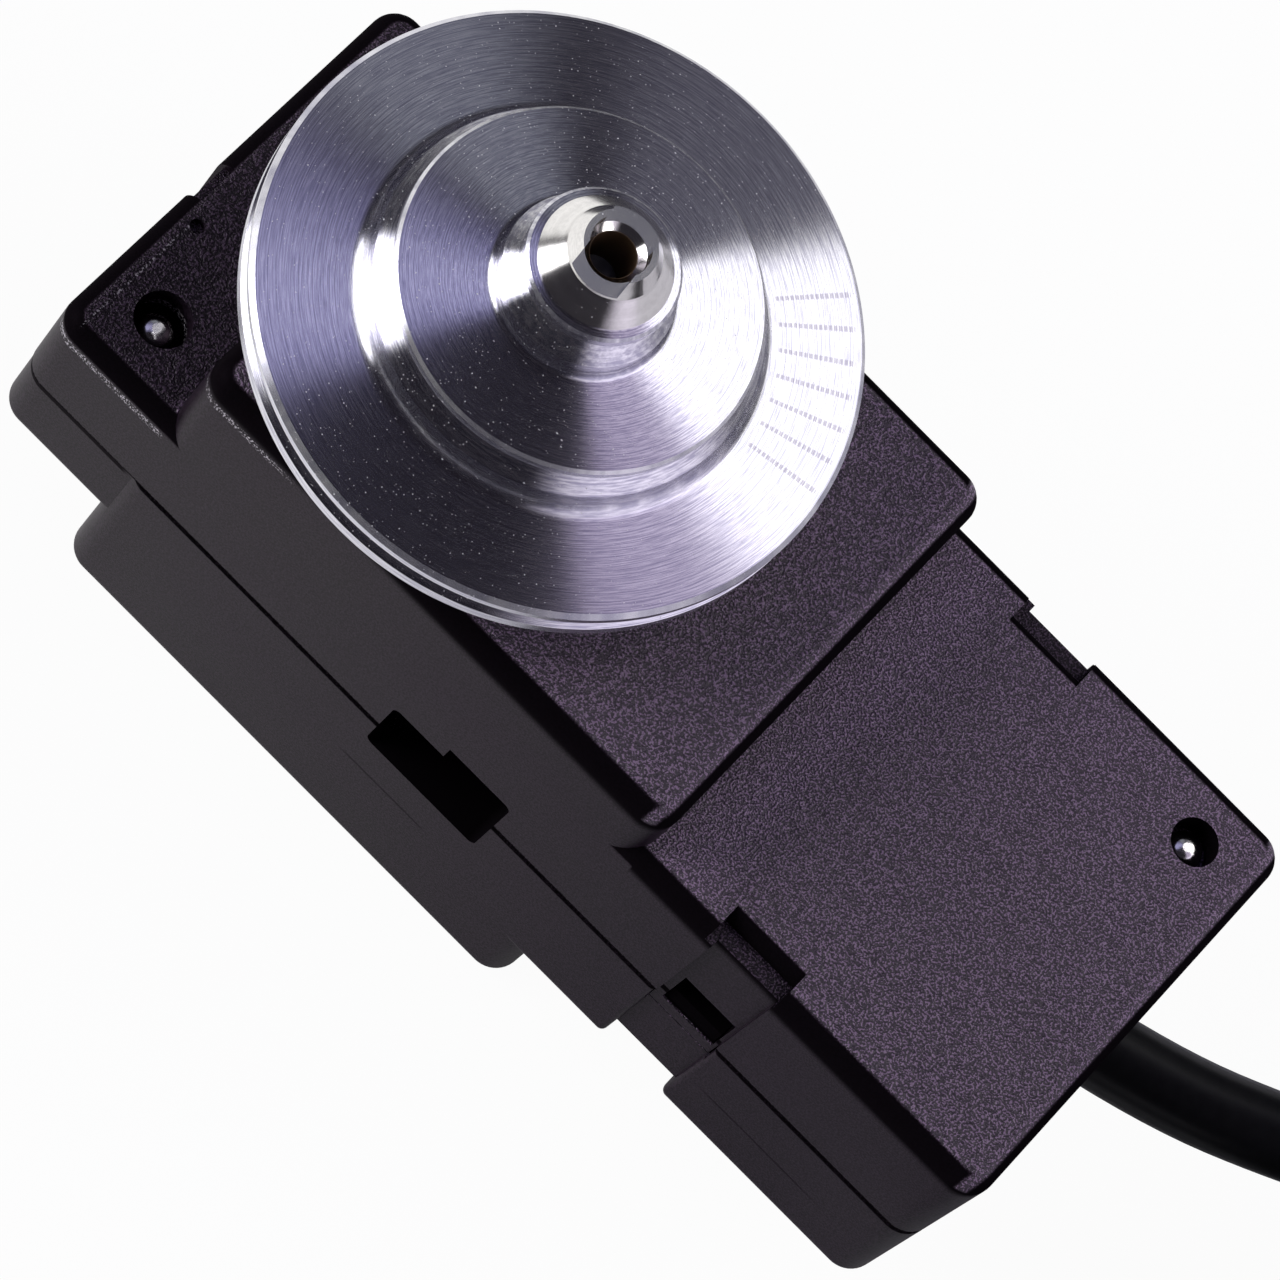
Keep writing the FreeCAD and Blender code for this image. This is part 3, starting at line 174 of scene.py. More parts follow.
# %% Wires
class Wire:
    """One socket of a node tree, on which operators add Math nodes; without a socket, the tree alone."""

    def __init__(self, tree, socket=None):
        self.tree = tree
        self.socket = socket

    def node(self, kind, settings=None, sockets=None, output=0):
        """Add a node: its settings first, then a number or a wire for each socket; give back one output."""
        made = self.tree.nodes.new(kind)
        for name, value in (settings or {}).items():
            setattr(made, name, value)
        for name, value in (sockets or {}).items():
            if isinstance(value, Wire):
                self.tree.links.new(value.socket, made.inputs[name])
            else:
                made.inputs[name].default_value = value
        return Wire(self.tree, made.outputs[output] if len(made.outputs) else None)

    def math(self, operation, first, second=0.0):
        """One Math node on two numbers or wires."""
        return self.node("ShaderNodeMath", {"operation": operation}, {0: first, 1: second})

    def __add__(self, other):
        return self.math("ADD", self, other)

    def __sub__(self, other):
        return self.math("SUBTRACT", self, other)

    def __rsub__(self, other):
        return self.math("SUBTRACT", other, self)

    def __mul__(self, other):
        return self.math("MULTIPLY", self, other)

    def __neg__(self):
        return self.math("MULTIPLY", self, -1.0)

    def __abs__(self):
        return self.math("ABSOLUTE", self)

    __radd__ = __add__
    __rmul__ = __mul__

    def capped(self):
        """This value, but no more than one."""
        return self.math("MINIMUM", self, 1.0)

    def rise(self, low, high):
        """Zero below low, one above high and a smooth step between."""
        levels = {"Value": self, "From Min": low, "From Max": high}
        return self.node("ShaderNodeMapRange", {"interpolation_type": "SMOOTHSTEP"}, levels)

    def within(self, reach, soft):
        """One where the value is closer to zero than reach, with an edge of that softness."""
        return 1.0 - abs(self).rise(reach - soft, reach + soft)

    def part(self, axis):
        """The X, Y or Z of a vector."""
        return self.node("ShaderNodeSeparateXYZ", None, {0: self}, axis)

    def vector(self, operation, other=None, output="Vector"):
        """Vector Math on this vector and, where the operation takes two, another one."""
        sockets = {0: self} if other is None else {0: self, 1: other}
        return self.node("ShaderNodeVectorMath", {"operation": operation}, sockets, output)

    def mixed(self, low, high):
        """A colour between low and high, with this wire as the share of high."""
        return self.node("ShaderNodeMix", {"data_type": "RGBA"}, {0: self, 6: low, 7: high}, 2)


print("shader words ready")


# %% Surfaces
def noise(place, scale, detail=2.0, roughness=0.5):
    """Soft random values from 0 to 1; scale is in patches a metre."""
    sockets = {"Vector": place, "Scale": scale, "Detail": detail, "Roughness": roughness}
    return place.node("ShaderNodeTexNoise", None, sockets)


def start_finish(name):
    """An empty material, a wire into its tree and the piece's own coordinates."""
    material = bpy.data.materials.new(name)
    material.use_nodes = True
    material.node_tree.nodes.clear()
    tree = Wire(material.node_tree)
    return material, tree, tree.node("ShaderNodeTexCoord", output="Object")


def gloss(tree, sockets, height=None, depth=0.0):
    """A surface with these sockets and an optional relief of that depth in metres."""
    if height is not None:
        relief = {"Strength": 1.0, "Distance": depth, "Height": height}
        sockets = {**sockets, "Normal": tree.node("ShaderNodeBump", None, relief, "Normal")}
    return tree.node("ShaderNodeBsdfPrincipled", None, sockets)


def blend(share, first, second):
    """Two surfaces in one, with the share of the second from 0 to 1."""
    return share.node("ShaderNodeMixShader", None, {0: share, 1: first, 2: second})


def put_on(tree, surface):
    """Make this surface the one that the material shows."""
    tree.node("ShaderNodeOutputMaterial", None, {"Surface": surface})


print("surfaces can be mixed and put on")

# %% [markdown]
# ## Moulded case plastic
# Both case halves are black plastic from a textured mould. Light picks the grain out on the faces that
# look along the shaft, and the side walls look more even. A painted picture could hold all this, but it
# needs a map of the surface and blurs close up. So four plain surfaces are mixed by masks, and noise
# makes the grain. A `CasePlace` gathers what the masks ask: where a point is, which way it faces and how
# the mould was there.

# %% A place on the case
GRAIN_PER_METRE = 5400.0
CLOUDS_PER_METRE = 60.0
SPECKLE = (0.50, 0.62)
LEANS_EAST = (0.08, 0.25)
FACES_EAST = (0.48, 0.66)
LEANS_UP = (0.1, 0.3)


class CasePlace:
    """A point of the case: x, y and z in millimetres, which way it faces, and the mould's noise there."""

    def __init__(self, tree, place):
        facing = tree.node("ShaderNodeTexCoord", output="Normal")
        east = facing.part("X")
        self.up = facing.part("Z")
        self.ahead = -facing.part("Y")
        self.x, self.y, self.z = (place.part(axis) * (1.0 / MM) for axis in "XYZ")
        self.grain = noise(place, GRAIN_PER_METRE, 1.0, 0.6)
        self.clouds = noise(place, CLOUDS_PER_METRE, 2.0)
        self.speckle = self.grain.rise(*SPECKLE)
        self.soft_edge = east.rise(*LEANS_EAST) * (1.0 - east.rise(*FACES_EAST)) * self.up.rise(*LEANS_UP)

    def box(self, spans):
        """One inside a soft box: each axis gives its middle, its half length and its soft edge."""
        return math.prod(
            (getattr(self, axis) - middle).within(half, soft)
            for axis, (middle, half, soft) in spans.items()
        )


print("grain of", round(1.0 / (GRAIN_PER_METRE * MM), 2), "mm on the case")

# %% [markdown]
# ## The case's four surfaces
# Grained faces carry pale purplish speckles on black, walls are a dark mottled grey, seams and openings
# are plain black, the openings as painted shade, and three edges carry a pale painted highlight. Each is
# one shader. The faces shine more beside the raised block and towards the far side, so a painted sheen
# mixes two pairs of speckle colours, which keeps the grain's contrast.

# %% Case surfaces
FACE_RELIEF = 0.20 * MM
WALL_RELIEF = 0.06 * MM
SHINY_BAND = {"x": (15.5, 3.0, 2.0)}
SHINY_FAR_SIDE_MM = (-10.0, 25.0)
SHEEN = {"band": 0.65, "far_side": 0.45, "soft_edge": 0.4}
MOTTLE = (0.34, 0.66)
MOTTLE_GRAIN = 0.85
MINOR_RELIEF = 0.2
GLOSS_WANDER = 0.08


def grained_face(tree, spot):
    """Speckles on black in a dull and a shiny pair, mixed by a painted sheen that adds up three soft
    regions.
    """
    far_side = spot.y.rise(*SHINY_FAR_SIDE_MM) * SHEEN["far_side"]
    sheen = spot.box(SHINY_BAND) * SHEEN["band"] + far_side + spot.soft_edge * SHEEN["soft_edge"]
    dull = spot.speckle.mixed((0.012, 0.007, 0.014, 1), (0.225, 0.148, 0.245, 1))
    shiny = spot.speckle.mixed((0.050, 0.033, 0.056, 1), (0.370, 0.250, 0.400, 1))
    sockets = {
        "Base Color": sheen.mixed(dull, shiny), "Roughness": 0.34 + spot.clouds * GLOSS_WANDER,
        "Specular IOR Level": 0.9, "Specular Tint": (1.0, 0.90, 1.0, 1),
    }
    return gloss(tree, sockets, spot.grain + spot.clouds * MINOR_RELIEF, FACE_RELIEF)


def mottled_wall(tree, spot):
    """Two near blacks mixed by grain and a few clouds, with a low gloss that wanders."""
    mottle = (spot.grain * MOTTLE_GRAIN + spot.clouds * (1.0 - MOTTLE_GRAIN)).rise(*MOTTLE)
    sockets = {
        "Base Color": mottle.mixed((0.002, 0.001, 0.002, 1), (0.025, 0.016, 0.026, 1)),
        "Roughness": 0.40 + spot.clouds * GLOSS_WANDER,
        "Specular IOR Level": 0.12, "Specular Tint": (1.0, 0.74, 1.0, 1),
    }
    return gloss(tree, sockets, spot.grain * MINOR_RELIEF + spot.clouds, WALL_RELIEF)


def black_shade(tree):
    """A matt black, for places that hardly any light leaves."""
    return tree.node("ShaderNodeBsdfDiffuse", None, {"Color": (0.004, 0.003, 0.004, 1)})


def highlight_crumbs(tree, spot):
    """A painted highlight: pale crumbs on dark plastic, by the same speckle as the faces."""
    crumbs = spot.speckle.mixed((0.05, 0.045, 0.05, 1), (0.62, 0.58, 0.63, 1))
    return gloss(tree, {"Base Color": crumbs, "Roughness": 0.4})


print("case surfaces: face, wall, shade, highlit")

# %% [markdown]
# ## Shade in seams and openings
# The parting line, the rack slot, the latch notches and the rounded edges are the darkest places of the
# case. The solids have these forms, but in the picture they are blacker and their lines wider than a soft
# light makes them. Extra grooves would change the part, so masks at measured heights darken the finish
# instead: painted shade in the openings, in the notches, along the rounded edges and on the faces at the
# pulley end, a painted shadow below the pulley end's lip, and a dark parting line. The parting line is a
# little ragged, and two thin scuffs cross the near wall.

# %% Case shade
SEAM_LOW_MM = 20.3
SEAM_STEP_MM = 1.7
SEAM_STEP_X_MM = (-4.0, -3.9)
SEAM_HALF_MM = 0.42
SEAM_RAGGED_MM = 0.3
LINE_SOFT_MM = 0.08
SCUFF_HALF_MM = 0.14
SCUFF_WAVER_MM = 0.6
SCUFF_LEFT = (12.0, {"x": (-5.5, 4.5, 1.0)})
SCUFF_RIGHT = (14.8, {"x": (36.0, 6.0, 2.0)})
RAISED_EDGE_MM = (40.8, 42.2)
CABLE_END_EDGE_MM = (34.0, 35.3)
CABLE_END_X_MM = (12.3, 12.5)
LEAVES_WALL = (0.05, 0.20)
REACHES_FACE = (0.92, 0.97)
FACES_AHEAD = (0.8, 0.9)
# Shares of black: painted shade at the edges, on the pulley end and in the notch, a painted shadow under
# the lip; the seam and the scuffs are dark marks.
DARKNESS = {"edge": 0.95, "seam": 0.95, "under_lip": 0.8, "scuff": 0.45, "pulley_end": 0.66, "notch": 0.7}


def edge_shade(spot):
    """Painted shade where a surface leans between wall and face, and on the last of the wall below two top
    edges.
    """
    cable_end = spot.x.rise(*CABLE_END_X_MM)
    below_top = spot.z.rise(*RAISED_EDGE_MM) + spot.z.rise(*CABLE_END_EDGE_MM) * cable_end
    leaning = (spot.up.rise(*LEAVES_WALL) + below_top).capped() * (1.0 - spot.up.rise(*REACHES_FACE))
    return leaning * (1.0 - spot.soft_edge) * DARKNESS["edge"]


def seam_shade(spot):
    """A band about the parting line's height, which steps up once along x; grain makes it ragged."""
    line = SEAM_LOW_MM + spot.x.rise(*SEAM_STEP_X_MM) * SEAM_STEP_MM
    ragged = (spot.grain - 0.5) * SEAM_RAGGED_MM
    return (spot.z - line + ragged).within(SEAM_HALF_MM, LINE_SOFT_MM) * DARKNESS["seam"]


def scuff_shade(spot):
    """Two thin lines on the near wall, each at a height that wavers with the clouds."""
    waver = (spot.clouds - 0.5) * SCUFF_WAVER_MM
    left, right = (
        (spot.z - height + waver).within(SCUFF_HALF_MM, LINE_SOFT_MM) * spot.box(span)
        for height, span in (SCUFF_LEFT, SCUFF_RIGHT)
    )
    return (left + right) * spot.ahead.rise(*FACES_AHEAD) * DARKNESS["scuff"]


print("parting line", SEAM_LOW_MM, "mm up, and", SEAM_LOW_MM + SEAM_STEP_MM, "mm past its step")

# %% Case openings
INSIDE = {"x": (0.0, 48.6, 0.1), "y": (0.0, 20.0, 0.05), "z": (22.2, 8.0, 0.2)}
RACK_SLOT = {"x": (-3.3, 6.3, 0.05), "z": (21.8, 5.1, 0.05)}
LATCH_NOTCH = {"x": (24.2, 4.4, 0.2), "z": (35.5, 0.9, 0.1)}
UNDER_LIP = {"z": (19.2, 0.28, LINE_SOFT_MM)}
PULLEY_END_X_MM = (-38.5, -37.5)
FACES_ALONG_Y = (0.4, 0.7)
FACES_UP = (0.8, 0.9)


def opening_shade(spot):
    """Painted shade over the case's inside, and over the walls of the rack slot, which don't face along y
    as outer walls do.
    """
    slot_walls = spot.box(RACK_SLOT) * (1.0 - abs(spot.ahead).rise(*FACES_ALONG_Y))
    return spot.box(INSIDE) + slot_walls


def low_face_shade(spot, grained):
    """Painted shade on faces that the pulley and the notch walls keep in the dark, and a painted shadow
    line below the pulley end's lip.
    """
    pulley_end = 1.0 - spot.x.rise(*PULLEY_END_X_MM)
    notch = spot.box(LATCH_NOTCH) * spot.up.rise(*FACES_UP)
    faces = (pulley_end * DARKNESS["pulley_end"] + notch * DARKNESS["notch"]) * grained
    return spot.box(UNDER_LIP) * pulley_end * DARKNESS["under_lip"] + faces


print("shaded openings: inside, rack slot, latch notches")

# %% [markdown]
# ## Painted edge highlights, and the whole case
# The near edges of the pulley end and of the raised block carry pale painted highlights, and so does a
# fine ridge along the pulley end. Highlights could be read from how sharp an edge is, but that would
# light every edge alike, and only these three shine. So each is a soft box about the edge, broken up by
# the grain. The finish then lays the surfaces on each other: faces over walls, shade over both, painted
# highlights on top.

# %% Case finish
LEVEL = (0.94, 0.985)
END_LIP = {"x": (-43.5, 5.9, 0.3), "z": (30.0, 0.40, 0.15)}
BLOCK_LIP = {"x": (-33.0, 4.5, 2.0), "z": (41.0, 0.36, 0.15)}
END_RIDGE = {"x": (-47.9, 0.10, 0.05), "y": (-13.5, 6.6, 0.2), "z": (32.3, 1.0, 0.1)}
RIDGE_HIGHLIGHT = 0.5
LEANS_AHEAD = (0.3, 0.6)
RIDGE_TOP = (0.5, 0.9)


def painted_edge_highlights(spot):
    """Painted highlights on two lips on the near side and on the ridge on the top, each times the speckle.
    """
    lips = (spot.box(END_LIP) + spot.box(BLOCK_LIP)) * spot.ahead.rise(*LEANS_AHEAD)
    ridge = spot.box(END_RIDGE) * spot.up.rise(*RIDGE_TOP)
    return ((lips + ridge * RIDGE_HIGHLIGHT) * spot.speckle).capped()


def moulded_case():
    """Face over wall where the case is level or softly rounded, then black shade, then painted highlights.
    """
    material, tree, place = start_finish("moulded_case")
    spot = CasePlace(tree, place)
    grained = tree.math("MAXIMUM", spot.up.rise(*LEVEL), spot.soft_edge)
    lines = edge_shade(spot) + seam_shade(spot) + scuff_shade(spot)
    dark = (lines + opening_shade(spot) + low_face_shade(spot, grained)).capped()
    clean = blend(grained, mottled_wall(tree, spot), grained_face(tree, spot))
    shaded = blend(dark, clean, black_shade(tree))
    # Painted highlights on three edges go on top.
    put_on(tree, blend(painted_edge_highlights(spot), shaded, highlight_crumbs(tree, spot)))
    return material


case_plastic = moulded_case()
print("finish", case_plastic.name, "with", len(case_plastic.node_tree.nodes), "nodes")

# %% [markdown]
# ## Faint dashes of painted reflection on the pulley
# Rows of small dark dashes cross the large step's face, a painted reflection of dark slats in a bright
# panel. They are far too fine for geometry, so they are part of the finish, and they turn with the pulley
# because they follow its own angle: the angle is counted in steps, every whole step is a spoke, and the
# distance from the axis breaks a spoke into dashes.

# %% Dashes
DASH_FIRST_DEGREES = 10.5
DASH_STEP_DEGREES = 6.9
DASH_SPOKES = 7
DASH_WIDTH_STEPS = 0.085
DASH_LENGTH = 0.42 * MM
DASH_HALF = 0.36
DASH_RADIUS = 20.9 * MM
DASH_REACH = 3.2 * MM
DASH_STRENGTH = 0.55
# The colour of the dashes' painted reflection.
DASH_REFLECTION_COLOUR = (0.20, 0.17, 0.24, 1)


def faint_dashes(tree, from_axis, radius):
    """Painted reflection as broken spokes on the large face: a turn that repeats every few degrees, cut up
    by the radius.
    """
    turn = tree.math("ARCTAN2", from_axis.part("Y"), from_axis.part("X"))
    steps = (turn - math.radians(DASH_FIRST_DEGREES)) * (1.0 / math.radians(DASH_STEP_DEGREES))
    spoke = (tree.math("FRACT", steps + 0.5) - 0.5).within(DASH_WIDTH_STEPS, 0.03)
    counted = (steps - 0.5 * (DASH_SPOKES - 1)).within(0.5 * DASH_SPOKES - 0.1, 0.05)
    broken = (tree.math("FRACT", radius * (1.0 / DASH_LENGTH)) - 0.5).within(DASH_HALF, 0.06)
    face = (radius - DASH_RADIUS).within(DASH_REACH, 0.1 * MM)
    return spoke * counted * broken * face


print(DASH_SPOKES, "faint spokes on the large step")

# %% [markdown]
# ## Turned aluminium
# A lathe tool leaves fine rings, and rings spread light across themselves: a turned disc shows bright and
# dark sectors instead of one mirror image. Real grooves would take millions of faces. The shader does the
# same with anisotropic gloss turned a quarter, so that it spreads outwards from the axis. The rings are
# noise of one number, the way along the profile, and the nose's bore has a brown stain.

# %% Turned metal finish
SHAFT_X = -22.0 * MM
RINGS_PER_METRE = 9000.0
SCORES_PER_METRE = 13000.0
SCORES_AROUND = 10.0
SPECKS_PER_METRE = 7000.0
SPECK_SOFT = 0.03
SPECK_COLOUR = (0.95, 0.94, 0.97, 1)
RING_CONTRAST = (0.36, 0.64)
SCORE_RELIEF = 0.8
QUARTER_TURN = 0.25
STAINED_RADIUS = (1.93 * MM, 1.97 * MM)
STAIN_COLOURS = ((0.050, 0.028, 0.014, 1), (0.160, 0.100, 0.055, 1))


def turning_marks(tree, from_axis, along):
    """Rings are noise by the way along the profile alone; scores also change slowly round the axis."""
    ring_sockets = {"W": along, "Scale": RINGS_PER_METRE, "Detail": 3.0, "Roughness": 0.6}
    rings = tree.node("ShaderNodeTexNoise", {"noise_dimensions": "1D"}, ring_sockets)
    around = from_axis.vector("NORMALIZE").vector("MULTIPLY", (SCORES_AROUND, SCORES_AROUND, 0.0))
    lift = tree.node("ShaderNodeCombineXYZ", None, {"Z": along * SCORES_PER_METRE})
    return rings, noise(around.vector("ADD", lift), 1.0, 2.0, 0.6)


def turned_metal(name, pale, dark, roughness, spread, ring_depth, lean, dust, dashes=False):
    """Metal turned about the shaft: rings and scores by radius, flanks that lean outwards, and dust."""
    material, tree, place = start_finish(name)
    from_axis = place.vector("SUBTRACT", (SHAFT_X, 0.0, 0.0)).vector("MULTIPLY", (1.0, 1.0, 0.0))
    radius = from_axis.vector("LENGTH", output="Value")
    rings, scores = turning_marks(tree, from_axis, radius + place.part("Z"))
    specks = noise(place, SPECKS_PER_METRE, 0.0).rise(dust, dust + SPECK_SOFT)
    metal = (rings * 0.5 + scores * 0.5).rise(*RING_CONTRAST).mixed(dark, pale)
    if dashes:
        # The dashes' painted reflection is mixed into the metal's colour.
        metal = (faint_dashes(tree, from_axis, radius) * DASH_STRENGTH).mixed(metal, DASH_REFLECTION_COLOUR)
    sockets = {
        "Base Color": specks.mixed(metal, SPECK_COLOUR), "Metallic": 1.0 - specks, "Roughness": roughness,
        "Anisotropic": spread, "Anisotropic Rotation": QUARTER_TURN,
    }
    clean = gloss(tree, sockets, (rings + scores * SCORE_RELIEF) * ring_depth - radius * lean, 1.0)
    stain = gloss(tree, {"Base Color": scores.mixed(*STAIN_COLOURS), "Roughness": 0.45})
    put_on(tree, blend(1.0 - radius.rise(*STAINED_RADIUS), clean, stain))
    return material


aluminium = turned_metal(
    "turned_aluminium", pale=(0.94, 0.93, 0.97, 1), dark=(0.46, 0.45, 0.55, 1), roughness=0.20, spread=0.92,
    ring_depth=0.0025 * MM, lean=0.21, dust=0.80, dashes=True,
)
nickel = turned_metal(
    "bright_nickel", pale=(0.90, 0.88, 0.86, 1), dark=(0.80, 0.78, 0.76, 1), roughness=0.13, spread=0.3,
    ring_depth=0.0006 * MM, lean=0.0, dust=0.84,
)
print("finishes", aluminium.name, nickel.name)

# %% [markdown]
# ## The stepped pulley
# The pulley is one turned piece: a grooved rim, a middle step and a small step, each with a flared foot
# and a groove for thread. It could be cylinders joined by Booleans, but a body of revolution is a profile
# carried round a circle, so the whole surface is one grid: profile points along one side, angles along
# the other.


# %% Lathe
def grid_quads(rows, columns):
    """Corner numbers of a grid's four-sided faces, closed on itself along both sides."""
    i, j = np.meshgrid(np.arange(rows), np.arange(columns), indexing="ij")
    below, beside = (i + 1) % rows, (j + 1) % columns
    corners = (i * columns + j, i * columns + beside, below * columns + beside, below * columns + j)
    return np.stack(corners, -1).reshape(-1, 4)


def mesh_piece(name, points, quads, finish, sharp_degrees=30.0):
    """A mesh object at the origin, smooth except where faces meet at more than the given angle."""
    mesh = bpy.data.meshes.new(name)
    mesh.from_pydata(points, [], quads.tolist())
    mesh.shade_smooth()
    mesh.set_sharp_from_angle(angle=math.radians(sharp_degrees))
    mesh.materials.append(finish)
    piece = bpy.data.objects.new(name, mesh)
    scene.collection.objects.link(piece)
    return piece


def lathe(name, profile_mm, finish, segments=256):
    """Carry a closed profile of (radius, height) pairs round the shaft: (r cos a, r sin a, z)."""
    radius, height = np.array(profile_mm).T * MM
    angle = np.linspace(0.0, math.tau, segments, endpoint=False)
    x = SHAFT_X + radius[:, None] * np.cos(angle)
    y = radius[:, None] * np.sin(angle)
    z = np.broadcast_to(height[:, None], x.shape)
    points = np.stack((x, y, z), -1).reshape(-1, 3)
    return mesh_piece(name, points, grid_quads(len(radius), segments), finish)


print("lathe turns about x =", round(SHAFT_X / MM, 1), "mm")

# %% Pulley
BORE_MM = 3.195
HUB_MM = 6.0
RIM_MM = 25.0
RIM_EDGE_MM = 0.4
RIM_GROOVE_MM = 1.0
RIM_MOUTH_MM = (1.4, 3.0)
RIM_FLOOR_MM = (1.8, 2.6)
STEP_EDGE_MM = 0.25
HUB_BACK_MM = 47.6
DISC_BACK_MM = 49.3
DISC_FRONT_MM = 53.3
MIDDLE_TOP_MM = 58.1
SMALL_TOP_MM = 63.4


def cove(radius, height, size, steps=8):
    """A hollow quarter round from the face at that height up to the upright wall at that radius."""
    angle = np.linspace(1.5 * math.pi, math.pi, steps)
    return np.column_stack((radius + size + size * np.cos(angle), height + size + size * np.sin(angle)))


def step_profile(base, top, foot, hollow, foot_height, groove, groove_height, lip, lip_height):
    """One step from the face below it: a cove, an upright foot, a slope to the groove, a chamfered lip."""
    return [
        *cove(foot, base, hollow), (foot, base + foot_height), (groove, base + groove_height),
        (lip, top - lip_height), (lip, top - STEP_EDGE_MM), (lip - STEP_EDGE_MM, top),
    ]


rim_profile = [
    (RIM_MM - RIM_EDGE_MM, DISC_BACK_MM), (RIM_MM, DISC_BACK_MM + RIM_EDGE_MM),
    (RIM_MM, DISC_BACK_MM + RIM_MOUTH_MM[0]),
    *((RIM_MM - RIM_GROOVE_MM, DISC_BACK_MM + height) for height in RIM_FLOOR_MM),
    (RIM_MM, DISC_BACK_MM + RIM_MOUTH_MM[1]),
    (RIM_MM, DISC_FRONT_MM - RIM_EDGE_MM), (RIM_MM - RIM_EDGE_MM, DISC_FRONT_MM),
]
middle_step = step_profile(
    DISC_FRONT_MM, MIDDLE_TOP_MM, foot=15.9, hollow=1.4, foot_height=2.0, groove=14.2, groove_height=2.95,
    lip=15.0, lip_height=0.9,
)
small_step = step_profile(
    MIDDLE_TOP_MM, SMALL_TOP_MM, foot=7.1, hollow=0.7, foot_height=1.8, groove=5.4, groove_height=3.05,
    lip=6.3, lip_height=1.0,
)
pulley_profile = [
    (BORE_MM, HUB_BACK_MM), (HUB_MM, HUB_BACK_MM), (HUB_MM, DISC_BACK_MM),
    *rim_profile, *middle_step, *small_step, (BORE_MM, SMALL_TOP_MM),
]
pulley = lathe("stepped_pulley", pulley_profile, aluminium)
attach(pulley, "spindle")
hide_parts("pulley")
print("pulley", len(pulley.data.polygons), "faces")

# %% [markdown]
# ## Plain finishes
# The screws, bearings, gear, board and lead are small or hidden, but none of them is one flat colour. A
# finish for each could be built up by hand. One recipe serves them all: a colour that wanders a little
# between two values, a gloss that wanders with finer noise, and a shallow relief.

# %% Plain finishes
FINE_TIMES = 8.0
FINE_GLOSS = 0.12


def plain_finish(name, low, high, roughness, metal=0.0, scale=400.0, depth=0.01 * MM, **more):
    """A colour between two values by soft noise, with gloss and relief from finer noise."""
    material, tree, place = start_finish(name)
    patches = noise(place, scale, 3.0)
    fine = noise(place, FINE_TIMES * scale, 2.0)
    sockets = {
        "Base Color": patches.mixed((*low, 1), (*high, 1)), "Metallic": metal,
        "Roughness": roughness + fine * FINE_GLOSS, **more,
    }
    put_on(tree, gloss(tree, sockets, fine, depth))
    return material


screw_steel = plain_finish("screw_steel", (0.84, 0.82, 0.79), (0.94, 0.93, 0.90), 0.10, 1.0)
ground_steel = plain_finish("ground_steel", (0.50, 0.50, 0.52), (0.62, 0.62, 0.64), 0.25, 1.0)
brass = plain_finish("pressed_brass", (0.60, 0.44, 0.20), (0.74, 0.58, 0.30), 0.3, 1.0)
gear_plastic = plain_finish("gear_plastic", (0.72, 0.69, 0.61), (0.80, 0.77, 0.69), 0.4)
black_plastic = plain_finish("black_plastic", (0.012, 0.012, 0.013), (0.020, 0.020, 0.022), 0.4)
board_resist = plain_finish("board_resist", (0.012, 0.09, 0.04), (0.02, 0.13, 0.06), 0.3)
wire_red = plain_finish("wire_insulation", (0.32, 0.02, 0.015), (0.40, 0.03, 0.02), 0.35)
pale_plastic = plain_finish("pale_plastic", (0.70, 0.69, 0.63), (0.78, 0.77, 0.71), 0.4)
lead_jacket = plain_finish(
    "lead_jacket", (0.002, 0.002, 0.003), (0.004, 0.004, 0.005), 0.30, scale=150.0,
    **{"Specular IOR Level": 0.22},
)
print(len(bpy.data.materials), "finishes so far")

# %% [markdown]
# ## Dressing the solids
# The solids that stay as they are, such as the case, the screws and all that is inside, only need a
# finish. Each could be named one by one, but the part's record already says which kind of material every
# piece is made of, so one finish is chosen for each kind and the record hands them out.

# %% Dressing the solids
FINISH_OF_SLOT = {
    "case_plastic": case_plastic, "anodised_aluminium": aluminium, "nickel_plate": nickel,
    "steel": ground_steel, "screw_steel": screw_steel, "bearing_steel": ground_steel, "cage_brass": brass,
    "gear_plastic": gear_plastic, "spacer_plastic": black_plastic, "code_film": black_plastic,
    "board": board_resist, "component_plastic": black_plastic, "header_plastic": pale_plastic,
    "core_insulation": wire_red, "cable_jacket": lead_jacket, "grommet_rubber": lead_jacket,
    "tie_plastic": black_plastic, "plug_plastic": black_plastic, "plug_steel": screw_steel,
    "tongue_plastic": pale_plastic,
}
for subpart in frame["record"]["subparts"]:
    solid = frame["nodes"][subpart["node"]]
    solid.data.materials.clear()
    solid.data.materials.append(FINISH_OF_SLOT[subpart["material_slot"]])

# %% [markdown]
# ## The lead takes its place
# The drawn lead stands for three plain solids: the tube by the case, the ring that holds the coil's room,
# and the tail. The plug and the tie stay solids and go along with it.

# %% The lead takes its place
lead.data.materials.append(lead_jacket)
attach(lead, "case")
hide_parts("cable_tube", "cable_coil", "cable_tail")

# %% [markdown]
# ## The table
# The sensor lies on a plain white table. Enough light to make the paint white would also wash the black
# case out, so the table glows for the camera's own rays, and a small share stays matt paint, which keeps
# the soft shadow. The case's walls mirror the table too, brightly at the pulley end and hardly at the
# lead's end, so the glow that gloss sees fades along the case.

# %% Table
TABLE_HALF = 3.0
TABLE_DROP = 0.05 * MM
TABLE_PAINT = (0.94, 0.94, 0.94, 1)
TABLE_GLOW_SHARE = 0.96
TABLE_MIRROR_LEFT = 0.95
TABLE_MIRROR_RIGHT = 0.0
TABLE_FADE = (-50.0 * MM, 45.0 * MM)


